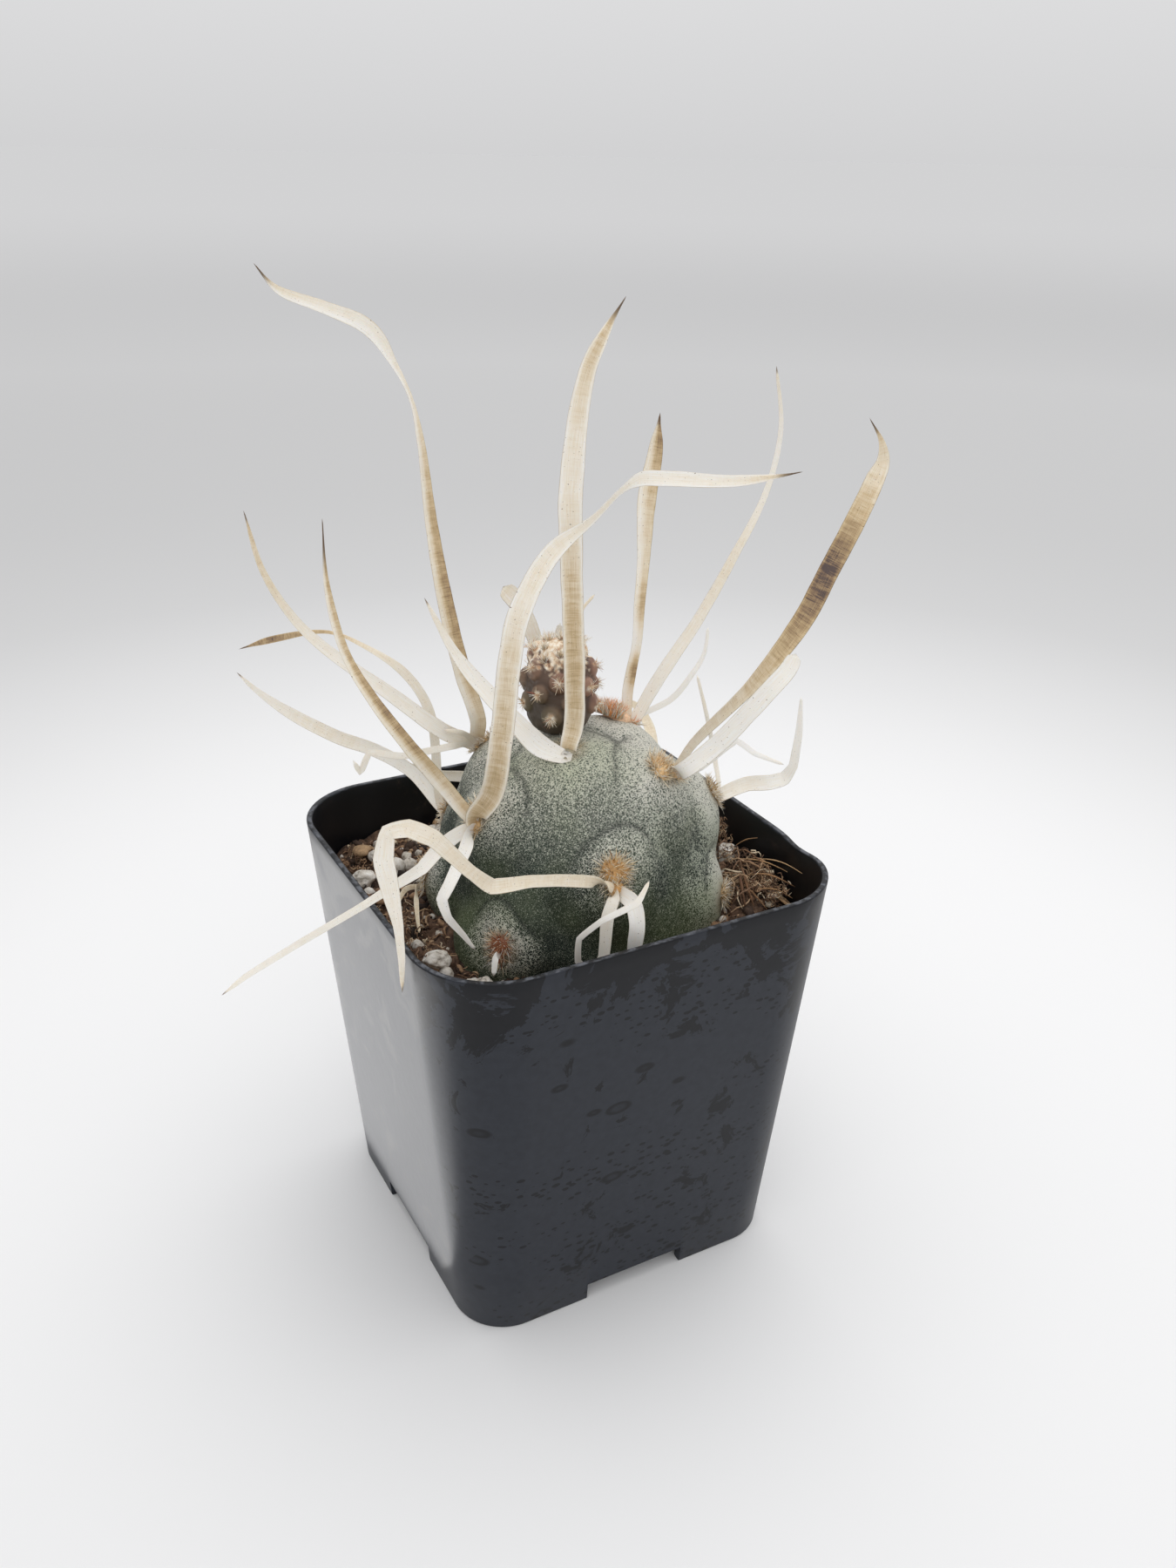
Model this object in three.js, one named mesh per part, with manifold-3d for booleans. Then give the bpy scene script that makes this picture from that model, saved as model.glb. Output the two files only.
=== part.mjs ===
// A paper spine cactus in a square nursery pot. Millimetres, +Z up.
// The pot stands on Z = 0 and the origin is the middle of its base.
import * as THREE from 'three';
import { mergeVertices } from 'three/addons/utils/BufferGeometryUtils.js';
import Module from 'manifold-3d';

// Pot
const potHeight = 62.5;
const potTopHalf = 31;
const potBaseHalf = 25.5;
const potTopCorner = 11.8;
const potBaseCorner = 7.7;
const potWall = 0.9;
const potFloorUnder = 3;
const potFloorTop = 4;
const notchWidth = 16;
const notchHeight = 3;
const drainHoleRadius = 3;
const drainHoleReach = 13;
const drainHoleSides = 8;
const footWidth = 1.44;
const rimDentDepth = 1.2;
const rimDentY = -14;
const rimDentWidth = 5;

// Soil
const touchGap = 0.3;
const soilLevel = 53.5;
const soilLump = 0.8;
const soilHeapHeight = 3;
const soilHeap = [25, -9];
const soilHeapWidth = 7;
const soilDip = [-13, -20];
const soilDipDepth = 2;
const soilDipWidth = 8;

// Stem joint, a tubercled egg
const stemCentre = new THREE.Vector3(2.5, -1.4, 50);
const stemRadius = 19.6;
const stemRise = 28;
const stemDrop = 24;
const stemFullness = 2.4;
const tubercleHeight = 2.4;
const tubercleReach = 0.46;
const stemDetail = 8;
const stemHoleDetail = 4;
const stemHoleGap = 0.8;

// Young joint on the stem's top
const youngCentre = new THREE.Vector3(0.3, 0.9, 86);
const youngRadius = 5;
const youngHalfHeight = 6.9;
const youngFullness = 2.2;
const youngTubercleCount = 22;
const youngTubercleHeight = 0.7;
const youngTubercleReach = 0.34;
const youngDetail = 4;
const youngTuftNeedles = 1;
const youngNeedleLength = 1.1;
const youngCrownNeedles = 12;
const youngCrownLength = 2;

// Paper spines and glochids
const spineThickness = 0.6;
const spineFold = 0.1;
const spineStep = 5.5;
const plugDepth = 1.1;
const plugLift = 0.8;
const plugSides = 8;
const needleRadius = 0.24;
const goldenAngle = Math.PI * (3 - Math.sqrt(5));
const tuftLean = 0.45;
const tuftSpread = 0.85;

// Each areole: the heading and the elevation, in degrees, of its tubercle's tip as seen
// from the middle of the stem, and how far the tubercle swells. Then the radius of the
// root that its spines share, the radius, needle count and needle length of its glochid
// tuft, and the turn from straight uphill to the side of the root where the tuft stands.
const areoles = {
  crown_front: { heading: 226, elevation: 78, root: 1.5, tuft: 1, needles: 5, length: 1.2 },
  crown_right: { heading: 308, elevation: 64, root: 1.6, tuft: 1.7, needles: 12, length: 2.2, turn: 45 },
  crown_back: { heading: 24, elevation: 71, root: 1.5, tuft: 1.9, needles: 12, length: 1.8, turn: -15 },
  crown_left: { heading: 130, elevation: 60, swell: 3.2, root: 1.5, tuft: 1.2, needles: 7, length: 1.3 },
  shoulder_left: { heading: 187, elevation: 51, root: 1.6, tuft: 1.3, needles: 8, length: 1.6, turn: 30 },
  shoulder_front: { heading: 256, elevation: 41, root: 1.3, tuft: 1.8, needles: 12, length: 1.8 },
  shoulder_right: {
    heading: 338, elevation: 45, swell: 3.6, root: 1.3, tuft: 1.6, needles: 9, length: 1.8, turn: 30,
  },
  shoulder_back: { heading: 72, elevation: 52, root: 1.4, tuft: 1.4, needles: 8, length: 1.6 },
  side_left: { heading: 138, elevation: 36, root: 1.4, tuft: 1.3, needles: 8, length: 1.5, turn: -25 },
  low_left: { heading: 157, elevation: 18, swell: 3.2, root: 1, tuft: 1.5, needles: 9, length: 2 },
  low_front: { heading: 213, elevation: 14.5, root: 0.9, tuft: 1.6, needles: 10, length: 1.7 },
  low_right: { heading: 315, elevation: 19, tuft: 1.4, needles: 10, length: 1.8 },
  low_back: { heading: 98, elevation: 22, root: 1.2, tuft: 1.4, needles: 8, length: 1.6 },
  low_back_right: { heading: 30, elevation: 28, root: 1.2, tuft: 1.4, needles: 8, length: 1.6 },
};

// Each paper spine: its areole, then the points that its middle line passes through,
// from the root to the tip, with the ribbon's width there and the roll of its face.
const spines = [
  ['crown_left', [
    [-8.8, 8.2, 80, 2.3, 0], [-10.2, 9.6, 86, 2.3, 0], [-11.6, 12, 96, 2.2, 10],
    [-12.6, 13.8, 106.4, 1.8, 25], [-13.6, 14.4, 118, 1.3, 45], [-14.5, 15, 123.4, 1, 60],
    [-16.5, 15, 127.6, 1.2, 40], [-19.5, 15.4, 132.2, 2, 0], [-25, 16.3, 134.8, 1.6, 0],
    [-30.4, 17.4, 137, 1.1, 0], [-33, 17.4, 140, 0.4, 0]]],
  ['crown_left', [[-13.3, 9.4, 78.2, 2.3, 0], [-19.4, 13.4, 83.4, 2, 0], [-28.9, 20.6, 91.9, 1.4, 0],
    [-33.4, 23, 100, 0.9, 10], [-35.2, 24.2, 108.8, 0.4, 20]]],
  ['crown_left', [[-13, 8.4, 76.4, 1, 0], [-19.4, 10.8, 75.2, 1, 0], [-23.4, 13, 75.6, 0.9, 0],
    [-24.7, 13.7, 72.6, 0.9, 0], [-25.5, 14.2, 74.4, 0.5, 0]]],
  ['crown_left', [[-11.5, 8, 78.4, 0.8, 0], [-14, 8.6, 79, 0.4, 0]]],
  ['crown_front', [[-1.4, -6.6, 83, 2.7, 0], [-1.7, -7.2, 91.4, 2.8, 0], [-2.5, -7.8, 102, 2.8, 0],
    [-3.2, -8.5, 116, 3, 0], [-1.3, -8.5, 129, 2.1, 0], [1.2, -8.7, 134, 1.5, 0], [4.1, -8, 137.5, 0.4, 0]]],
  ['crown_front', [[-6, -6.2, 80.7, 3, 0], [-8.6, -4.4, 83.7, 2.6, 0], [-12.7, 1.3, 89.6, 1.9, 0],
    [-14.4, 3.4, 92.7, 1.3, 0], [-17.1, 6.1, 99.4, 0.4, 0]]],
  ['shoulder_left', [[-14.4, -8.4, 76.4, 3.1, 0], [-14.4, -11.4, 84.8, 3, 0], [-14.1, -13.9, 97.6, 2.9, 0],
    [-13.2, -14.4, 102.6, 2.8, 0], [-9, -14.5, 109.5, 2.3, 10], [-3.4, -14.8, 113.4, 1.2, 50],
    [0.3, -15, 116.5, 1.1, 55], [2.6, -15.2, 117.5, 1.7, 20], [5.7, -15.8, 117.4, 1.9, 0],
    [13.8, -18, 116.8, 1.5, 0], [20.5, -19.4, 117.2, 0.8, 0], [23.2, -19.8, 117.5, 0.4, 0]]],
  ['shoulder_left', [[-19.2, -3.1, 76.7, 2.1, 0], [-23.7, -2.9, 83.2, 1.9, 0], [-27.7, -0.6, 90, 1.5, 10],
    [-29.8, 1.7, 95.2, 1.2, 20], [-31, 3.3, 103.2, 1, 20], [-31, 3.5, 112, 0.4, 20]]],
  ['shoulder_left', [[-20.4, -5, 68.4, 2, 0], [-24.2, -7.4, 67.2, 1.7, 0], [-28.6, -9.4, 66.9, 1.3, 0],
    [-33.2, -9.4, 65, 1, 0], [-39.8, -0.7, 56.2, 0.9, 0], [-44.7, 9.7, 46.5, 0.8, 0],
    [-47.3, 14.6, 41.2, 0.4, 0]]],
  ['shoulder_left', [[-18.4, -8.4, 69, 1.8, 0], [-22.2, -11.7, 66.3, 1.6, 0], [-23.5, -12.4, 65, 1.5, 0],
    [-23.2, -13.6, 62.8, 1.1, 0], [-21.5, -14.6, 60.2, 0.8, 0], [-20.2, -15.4, 58, 0.4, 0]]],
  ['crown_right', [[14.5, -11.5, 79.3, 2.7, 60], [24.2, -11.2, 86.4, 2.9, 45], [32.8, -10.3, 94.3, 3, 10],
    [36.7, -10.1, 100.7, 2.9, 0], [40.4, -9.9, 106.8, 2.9, 0], [44.5, -8.7, 112.6, 2.6, 0],
    [45.8, -8.3, 114.8, 1.8, 0], [45.4, -8.1, 117.3, 1.1, 0], [43.6, -7.1, 120.6, 0.4, 0]]],
  ['crown_right', [[10.9, -16.2, 78.9, 2.4, 0], [13.4, -18.9, 82, 2.5, 0], [18.7, -23, 90.9, 2.4, 0],
    [20.6, -23.5, 93.2, 2, 0], [21.6, -23.6, 95, 1.1, 0]]],
  ['crown_right', [[13.4, -15.6, 77.6, 0.9, 0], [17.6, -17.6, 81.5, 0.8, 0], [19.7, -19, 79.8, 0.7, 0],
    [23.3, -21, 78.2, 0.4, 0]]],
  ['crown_back', [[12.8, 3.4, 81.8, 1.6, 0], [14.7, 4.4, 88.8, 1.4, 0], [16.7, 6.7, 99.8, 1.8, 0],
    [17.9, 8.3, 108.8, 2.6, 0], [19.5, 9.2, 114.7, 2.1, 0], [20.2, 9.4, 120.2, 0.7, 0]]],
  ['crown_back', [[17.4, 2.2, 83.9, 1.9, 0], [23.3, 1.9, 91.8, 1.6, 0], [28.3, 1.4, 100.3, 1.3, 0],
    [33.4, 1.4, 109.5, 0.9, 0], [35, 1.2, 118, 0.7, 0], [32.7, 0.2, 127, 0.4, 0]]],
  ['crown_back', [[18.9, 0.9, 80.8, 0.9, 0], [21.8, 0.4, 84.2, 0.8, 0], [23.8, 0.5, 87, 0.6, 0],
    [24.7, 1.1, 90.9, 0.4, 0]]],
  ['shoulder_right', [[28.2, -6.5, 68.2, 2.2, 0], [32.3, -6.5, 67.6, 2.3, 0], [35.3, -6, 67.4, 2, 0],
    [36.5, -6.4, 69.4, 1.4, 0], [37.4, -5.9, 74.4, 1.1, 0], [37.9, -5.1, 80, 0.4, 0]]],
  ['shoulder_right', [[23.2, -4.8, 72.6, 0.7, 0], [22.4, -3.3, 78.8, 0.6, 0], [21.4, -1.6, 84.9, 0.4, 0]]],
  ['shoulder_front', [[-6.3, -22.2, 68.2, 1.7, 0], [-11.7, -22.3, 69.8, 1.6, 0], [-15.4, -22.3, 70.6, 1.6, 0],
    [-20.6, -21.7, 70.9, 2, 0], [-23.4, -21.3, 73.6, 1.7, 0], [-27.7, -20.6, 78.8, 2.2, 0],
    [-30.4, -19.8, 80.3, 2.2, 0], [-32.5, -18.6, 79.7, 2, 0], [-33.1, -18.2, 76, 2.5, 0],
    [-32.6, -18.5, 72, 2.3, 0], [-32, -19.1, 67, 1.3, 0], [-31.8, -19.2, 62, 0.9, 0],
    [-31.8, -18.8, 57, 0.4, 0]]],
  ['shoulder_front', [[-1.8, -24.2, 64.9, 2.2, 0], [-2, -25.8, 62.8, 2.1, 0], [-2.4, -26, 59.4, 1.9, 0],
    [-2.6, -25.4, 55.4, 0.8, 0]]],
  ['shoulder_front', [[-4.7, -22.8, 62.8, 1.7, 0], [-5.6, -23.6, 57.4, 1.5, 0], [-7.4, -23.6, 55, 1.1, 0],
    [-9.3, -23.4, 57.8, 0.9, 0], [-9.4, -23.8, 61.4, 0.8, 0], [-7.2, -25.6, 64.4, 0.8, 0],
    [-2.9, -27.2, 66.8, 0.9, 0], [-0.9, -26.6, 69.2, 0.4, 0]]],
  ['low_front', [[-17.2, -15.2, 56.2, 0.9, 0], [-18.2, -16.5, 54, 0.7, 0]]],
  ['low_left', [[-20.6, 4.4, 56.4, 0.8, 0], [-22, 0.6, 55, 0.6, 0], [-23, -2.6, 54.4, 0.4, 0]]],
  ['low_left', [[-21.2, 6.8, 56.2, 0.8, 0], [-23.6, 4.6, 55, 0.4, 0]]],
  ['side_left', [[-12.6, 16.8, 78.4, 1.4, 0], [-15, 19.6, 83.8, 1.3, 0], [-19.9, 22.5, 87.8, 0.8, 30],
    [-24.4, 25, 89.9, 0.6, 30], [-31.4, 28.6, 88.8, 1, 0], [-36, 31, 87.2, 0.4, 0]]],
  ['side_left', [[-15, 18.6, 68.6, 1.9, 0], [-19.4, 22.2, 71.6, 2, 0], [-24.1, 24.8, 73.6, 2, 0],
    [-29.8, 28, 77.1, 1.7, 0], [-34.3, 30.2, 81, 0.8, 0], [-36.6, 31, 83.8, 0.4, 0]]],
  ['shoulder_back', [[4.6, 14.4, 82, 2.2, 0], [3.4, 14.6, 88, 2.4, 0], [1.8, 16, 93.4, 2.6, 0],
    [0.2, 17, 95.4, 1.8, 0]]],
  ['shoulder_back', [[6.2, 14, 83, 1.8, 0], [6, 11.6, 91, 0.8, 0]]],
  ['shoulder_back', [[9, 14.6, 82, 0.7, 0], [11, 14.6, 91, 0.5, 0], [13.4, 14.8, 93.4, 0.4, 0]]],
  ['low_back', [[-2, 24.6, 62, 1.8, 0], [-7.6, 26.4, 63.4, 1.6, 0], [-13, 26.8, 66, 1.2, 0],
    [-18, 26.4, 70, 0.4, 0]]],
  ['low_back_right', [[23.6, 13.2, 67, 1.8, 0], [26, 19, 69, 1.6, 0], [26.6, 25, 70, 1.1, 0],
    [25, 29, 68, 0.4, 0]]],
];

// Each perlite grain: where it lies on the soil, and its half length, half width and half height.
const perliteGrains = [
  [-22.8, -9.4, 2.2, 1.6, 1.3], [-19.6, -16.4, 1.4, 1.2, 1], [-24.6, 15.6, 2.3, 1.8, 1.5],
  [-20, 20.6, 2, 1.6, 1.4], [-9, 25.6, 1.8, 1.3, 1.2], [25.4, -6.4, 2.2, 1.8, 1.6],
  [26.6, -16.4, 1.2, 1, 1], [12, 25, 1.9, 1.5, 1.3],
];
const perliteStandsOut = 0.35;

// Each coir strand on the soil: its two sunk ends, the rise of its middle and its radius.
const coirStrands = [
  [[20.8, -17, 53], [27.4, -21.4, 53.4], 1.6, 0.4], [[24, -3, 55], [28, -13, 55.5], 3, 0.45],
  [[-26.6, 6, 53], [-24.6, 12, 53], 1.2, 0.4], [[-25, 22, 53], [-18, 26.4, 53], 1.5, 0.45],
  [[2, 26.4, 53], [9.4, 24, 53], 1.4, 0.4], [[-25.6, -18, 52.6], [-21.4, -22.6, 52.6], 1.2, 0.4],
  [[20.4, 20.6, 53], [27, 15, 53], 1.5, 0.45], [[12, -24.4, 52.6], [19, -22.2, 52.8], 1.2, 0.4],
];

// Colours
const potBlack = 0x2f3236;
const soilBrown = 0x5a4133;
const stemGreen = 0x4f6253;
const youngPurple = 0x5b4440;
const paperCream = 0xe6dcc6;
const glochidTan = 0xb9803f;
const perliteWhite = 0xded8cd;

const wasm = await Module();
wasm.setup();

// A closed mesh whose shared vertices are merged, as a solid.
function toSolid(geometry) {
  const bare = geometry.clone();
  bare.deleteAttribute('normal');
  bare.deleteAttribute('uv');
  const merged = mergeVertices(bare, 1e-5);
  const vertProperties = new Float32Array(merged.attributes.position.array);
  const triVerts = new Uint32Array(merged.index.array);
  return new wasm.Manifold(new wasm.Mesh({ numProp: 3, vertProperties, triVerts }));
}

// A solid's surface, flat shaded.
function toGeometry(solid) {
  const { vertProperties, triVerts } = solid.getMesh();
  const indexed = new THREE.BufferGeometry();
  indexed.setAttribute('position', new THREE.BufferAttribute(vertProperties, 3));
  indexed.setIndex(new THREE.BufferAttribute(triVerts, 1));
  const geometry = indexed.toNonIndexed();
  geometry.computeVertexNormals();
  return geometry;
}

const joinAll = (solids) => solids.reduce((whole, solid) => whole.add(solid));

// A seeded random number between 0 and 1.
function randomFrom(seed) {
  let state = seed;
  return () => {
    state = (state * 16807) % 2147483647;
    return state / 2147483647;
  };
}

const group = new THREE.Group();

// Adds a named sub-part with its own material.
function addPiece(name, solid, color, roughness) {
  const material = new THREE.MeshStandardMaterial({ color, roughness, metalness: 0 });
  const mesh = new THREE.Mesh(toGeometry(solid), material);
  mesh.name = name;
  group.add(mesh);
}

// A unit vector from its heading and elevation in degrees.
function aim(heading, elevation) {
  const turn = THREE.MathUtils.degToRad(heading);
  const lift = THREE.MathUtils.degToRad(elevation);
  return new THREE.Vector3(Math.cos(lift) * Math.cos(turn), Math.cos(lift) * Math.sin(turn), Math.sin(lift));
}

// A closed body through rings of points, bottom ring first, each ring counter-clockwise.
function loft(rings) {
  const count = rings[0].length;
  const positions = rings.flat().flatMap((point) => point);
  const index = [];
  for (let level = 0; level < rings.length - 1; level += 1) {
    for (let i = 0; i < count; i += 1) {
      const a = level * count + i;
      const b = level * count + ((i + 1) % count);
      index.push(a, b, b + count, a, b + count, a + count);
    }
  }
  const top = (rings.length - 1) * count;
  for (let i = 1; i < count - 1; i += 1) {
    index.push(0, i + 1, i);
    index.push(top, top + i, top + i + 1);
  }
  const geometry = new THREE.BufferGeometry();
  geometry.setAttribute('position', new THREE.Float32BufferAttribute(positions, 3));
  geometry.setIndex(index);
  return geometry;
}

// A square outline with rounded corners, counter-clockwise, with points along its sides.
function roundedSquare(half, corner) {
  const cornerSteps = 4;
  const sideSteps = 4;
  const points = [];
  for (let quarter = 0; quarter < 4; quarter += 1) {
    const turn = (quarter * Math.PI) / 2;
    const place = (x, y) => points.push([
      x * Math.cos(turn) - y * Math.sin(turn),
      x * Math.sin(turn) + y * Math.cos(turn),
    ]);
    for (let i = 0; i < sideSteps; i += 1) {
      place(half, (half - corner) * (2 * i / sideSteps - 1));
    }
    for (let i = 0; i < cornerSteps; i += 1) {
      const angle = (i / cornerSteps) * (Math.PI / 2);
      place(half - corner + corner * Math.cos(angle), half - corner + corner * Math.sin(angle));
    }
  }
  return points;
}

// The pot's outline at a height, set in by a wall, with the dent in its right side's rim.
function potOutline(height, inset) {
  const part = height / potHeight;
  const half = THREE.MathUtils.lerp(potBaseHalf, potTopHalf, part) - inset;
  const corner = THREE.MathUtils.lerp(potBaseCorner, potTopCorner, part) - inset;
  return roundedSquare(half, corner).map(([x, y]) => {
    const away = (y - rimDentY) / rimDentWidth;
    const dent = x > 0 ? rimDentDepth * part ** 6 * Math.exp(-away * away) : 0;
    return [x - dent * (x / half), y, height];
  });
}

// The pot, open above, with a recess under its floor, a notch in each side and four drain holes.
function makePot() {
  const dentLevel = potHeight * 0.8;
  const outside = toSolid(loft([0, dentLevel, potHeight].map((z) => potOutline(z, 0))));
  const hollow = [potFloorTop, dentLevel, potHeight + 1].map((z) => potOutline(z, potWall));
  const inside = toSolid(loft(hollow));
  const recess = toSolid(loft([-1, potFloorUnder].map((z) => potOutline(z, footWidth))));
  const cutters = [inside, recess];
  for (let side = 0; side < 4; side += 1) {
    const notch = new THREE.BoxGeometry(notchWidth, footWidth * 3, notchHeight * 2);
    notch.translate(0, -potBaseHalf, 0);
    notch.rotateZ((side * Math.PI) / 2);
    const drainLength = potFloorTop * 2;
    const drain = new THREE.CylinderGeometry(drainHoleRadius, drainHoleRadius, drainLength, drainHoleSides);
    drain.rotateX(Math.PI / 2);
    drain.translate(drainHoleReach, drainHoleReach, potFloorTop);
    drain.rotateZ((side * Math.PI) / 2);
    cutters.push(toSolid(notch), toSolid(drain));
  }
  return outside.subtract(joinAll(cutters));
}

// An egg of a given fullness: how far it reaches from its middle along a direction.
function eggReach(direction, radius, rise, drop, fullness) {
  const across = Math.hypot(direction.x, direction.y) / radius;
  const along = Math.abs(direction.z) / (direction.z > 0 ? rise : drop);
  return (across ** fullness + along ** fullness) ** (-1 / fullness);
}

// How far the highest of the tubercles that cover a direction stands out there.
function tubercleSwell(direction, tubercles, reach) {
  const swells = tubercles.map(({ tip, swell }) => {
    const part = Math.min(direction.angleTo(tip) / reach, 1);
    return swell * (1 - part * part) ** 2;
  });
  return Math.max(...swells);
}

const stemTubercles = Object.values(areoles).map(({ heading, elevation, swell = tubercleHeight }) => (
  { tip: aim(heading, elevation), swell }));

// The point of the stem's surface in a direction from its middle, or a gap outside it.
function stemPoint(direction, gap = 0) {
  const reach = eggReach(direction, stemRadius, stemRise, stemDrop, stemFullness);
  const swell = tubercleSwell(direction, stemTubercles, tubercleReach);
  return direction.clone().multiplyScalar(reach + swell + gap).add(stemCentre);
}

// The outward normal of the stem's surface, from two short steps along it.
function stemNormal(direction) {
  const side = new THREE.Vector3(0, 0, 1).cross(direction).normalize().multiplyScalar(0.05);
  const up = direction.clone().cross(side);
  const at = (step) => stemPoint(direction.clone().add(step).normalize());
  const across = at(side).sub(at(side.clone().negate()));
  const along = at(up).sub(at(up.clone().negate()));
  return across.cross(along).normalize();
}

// A ball of a given detail with each of its points put where its direction says.
function moulded(detail, place) {
  const geometry = new THREE.IcosahedronGeometry(1, detail);
  const { position } = geometry.attributes;
  const direction = new THREE.Vector3();
  for (let i = 0; i < position.count; i += 1) {
    direction.fromBufferAttribute(position, i).normalize();
    const point = place(direction);
    position.setXYZ(i, point.x, point.y, point.z);
  }
  return toSolid(geometry);
}

// A round plug with a domed top, standing at a point along a normal.
function plug(point, normal, radius, below, above) {
  const profile = [
    [0, -below], [radius, -below], [radius, above * 0.3], [radius * 0.6, above * 0.85], [0, above],
  ];
  const geometry = new THREE.LatheGeometry(profile.map(([x, y]) => new THREE.Vector2(x, y)), plugSides);
  geometry.applyQuaternion(new THREE.Quaternion().setFromUnitVectors(new THREE.Vector3(0, 1, 0), normal));
  geometry.translate(point.x, point.y, point.z);
  return toSolid(geometry);
}

// A three-sided needle from a point along a direction.
function needle(point, direction, length) {
  const geometry = new THREE.ConeGeometry(needleRadius, length, 3);
  geometry.translate(0, length / 2, 0);
  geometry.applyQuaternion(new THREE.Quaternion().setFromUnitVectors(new THREE.Vector3(0, 1, 0), direction));
  geometry.translate(point.x, point.y, point.z);
  return toSolid(geometry);
}

// Where an areole's spine root and glochid tuft stand, on either side of its tip.
function areoleSeats({ heading, elevation, root = 0, tuft, turn = 0 }) {
  const tip = aim(heading, elevation);
  const middle = stemPoint(tip);
  const normal = stemNormal(tip);
  const toTuft = new THREE.Vector3(0, 0, 1).projectOnPlane(normal).normalize();
  toTuft.applyAxisAngle(normal, THREE.MathUtils.degToRad(turn));
  const spacing = root + tuft + touchGap;
  const seat = (shift) => {
    const direction = middle.clone().addScaledVector(toTuft, shift).sub(stemCentre).normalize();
    return { point: stemPoint(direction), normal, toTuft };
  };
  return { rootSeat: seat(-spacing * 0.45), tuftSeat: seat(root > 0 ? spacing * 0.55 : 0) };
}

// A paper ribbon, folded a little along its middle, through its points. It faces one way, turned
// by its rolls, and keeps its last turn where it runs along that way.
const faceOut = new THREE.Vector3(-0.45, -0.8, 0.4).normalize();

function ribbon(seat, rows) {
  const first = new THREE.Vector3(...rows[0]);
  const lean = first.clone().sub(seat.point).projectOnPlane(seat.normal).clampLength(0, 0.5);
  const sunk = seat.point.clone().addScaledVector(seat.normal, -plugDepth * 0.7).add(lean);
  const mouth = seat.point.clone().addScaledVector(seat.normal, plugLift).addScaledVector(lean, 1.6);
  const points = [sunk, mouth, ...rows.map((row) => new THREE.Vector3(row[0], row[1], row[2]))];
  const widths = [rows[0][3] * 0.6, rows[0][3] * 0.8, ...rows.map((row) => row[3])];
  const rolls = [rows[0][4], rows[0][4], ...rows.map((row) => row[4])];
  const curve = new THREE.CatmullRomCurve3(points, false, 'centripetal');
  const spans = points.length - 1;
  const stations = points.slice(1).flatMap((point, span) => {
    const steps = THREE.MathUtils.clamp(Math.round(point.distanceTo(points[span]) / spineStep), 1, 4);
    return Array.from({ length: steps }, (_, i) => [span, i / steps]);
  });
  stations.push([spans - 1, 1]);
  const rings = [];
  let across = null;
  stations.forEach(([span, within]) => {
    const part = (span + within) / spans;
    const width = THREE.MathUtils.lerp(widths[span], widths[span + 1], within);
    const roll = THREE.MathUtils.degToRad(THREE.MathUtils.lerp(rolls[span], rolls[span + 1], within));
    const tangent = curve.getTangent(part);
    const facing = tangent.clone().cross(faceOut);
    const kept = across ? across.clone().projectOnPlane(tangent).normalize() : facing;
    across = kept.clone().lerp(facing, facing.lengthSq()).normalize();
    const side = across.clone().applyAxisAngle(tangent, roll);
    const face = side.clone().cross(tangent);
    const middle = curve.getPoint(part);
    const thickness = Math.min(spineThickness, width);
    const corner = (edge, height) => middle.clone().addScaledVector(side, (edge * width) / 2)
      .addScaledVector(face, height).toArray();
    const fold = -spineFold * width;
    const half = thickness / 2;
    rings.push([
      corner(1, -half), corner(0, fold - half), corner(-1, -half),
      corner(-1, half), corner(0, fold + half), corner(1, half),
    ]);
  });
  return toSolid(loft(rings));
}

// Directions spread evenly about a normal, by the golden angle, out to a widest lean, with
// a length scale for each.
function spread(normal, count, widest, seed) {
  const random = randomFrom(seed);
  const side = new THREE.Vector3(1, 0.3, 0.2).cross(normal).normalize();
  return Array.from({ length: count }, (_, i) => {
    const lean = widest * Math.sqrt((i + 0.3) / count);
    const turn = i * goldenAngle + random() * 0.5;
    const axis = side.clone().applyAxisAngle(normal, turn);
    return { direction: normal.clone().applyAxisAngle(axis, lean), scale: 0.75 + 0.5 * random() };
  });
}

// A round core with needles that lean away from the spray, less any that would touch it.
function makeTuft({ root, tuft, needles, length }, { point, normal, toTuft }, spray, seed) {
  const core = plug(point, normal, tuft, plugDepth * 0.8, plugLift * 0.9);
  const outward = normal.clone().addScaledVector(toTuft, root ? tuftLean : 0).normalize();
  const hairs = spread(outward, needles, tuftSpread, seed).map(({ direction, scale }) => {
    const foot = point.clone().addScaledVector(direction.clone().projectOnPlane(normal), tuft * 0.7);
    return needle(foot, direction, (plugLift + length) * scale);
  });
  return joinAll([core, ...hairs.filter((hair) => !spray || hair.minGap(spray, touchGap) >= touchGap)]);
}

// The young joint's tubercles, from near its top down to below its waist.
const youngTubercles = Array.from({ length: youngTubercleCount }, (_, i) => {
  const rise = 0.9 - (1.5 * (i + 0.5)) / youngTubercleCount;
  const elevation = THREE.MathUtils.radToDeg(Math.asin(rise));
  return { tip: aim(THREE.MathUtils.radToDeg(i * goldenAngle), elevation), swell: youngTubercleHeight };
});

function youngPoint(direction, gap = 0) {
  const reach = eggReach(direction, youngRadius, youngHalfHeight, youngHalfHeight, youngFullness);
  const swell = tubercleSwell(direction, youngTubercles, youngTubercleReach);
  return direction.clone().multiplyScalar(reach + swell + gap).add(youngCentre);
}

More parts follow.
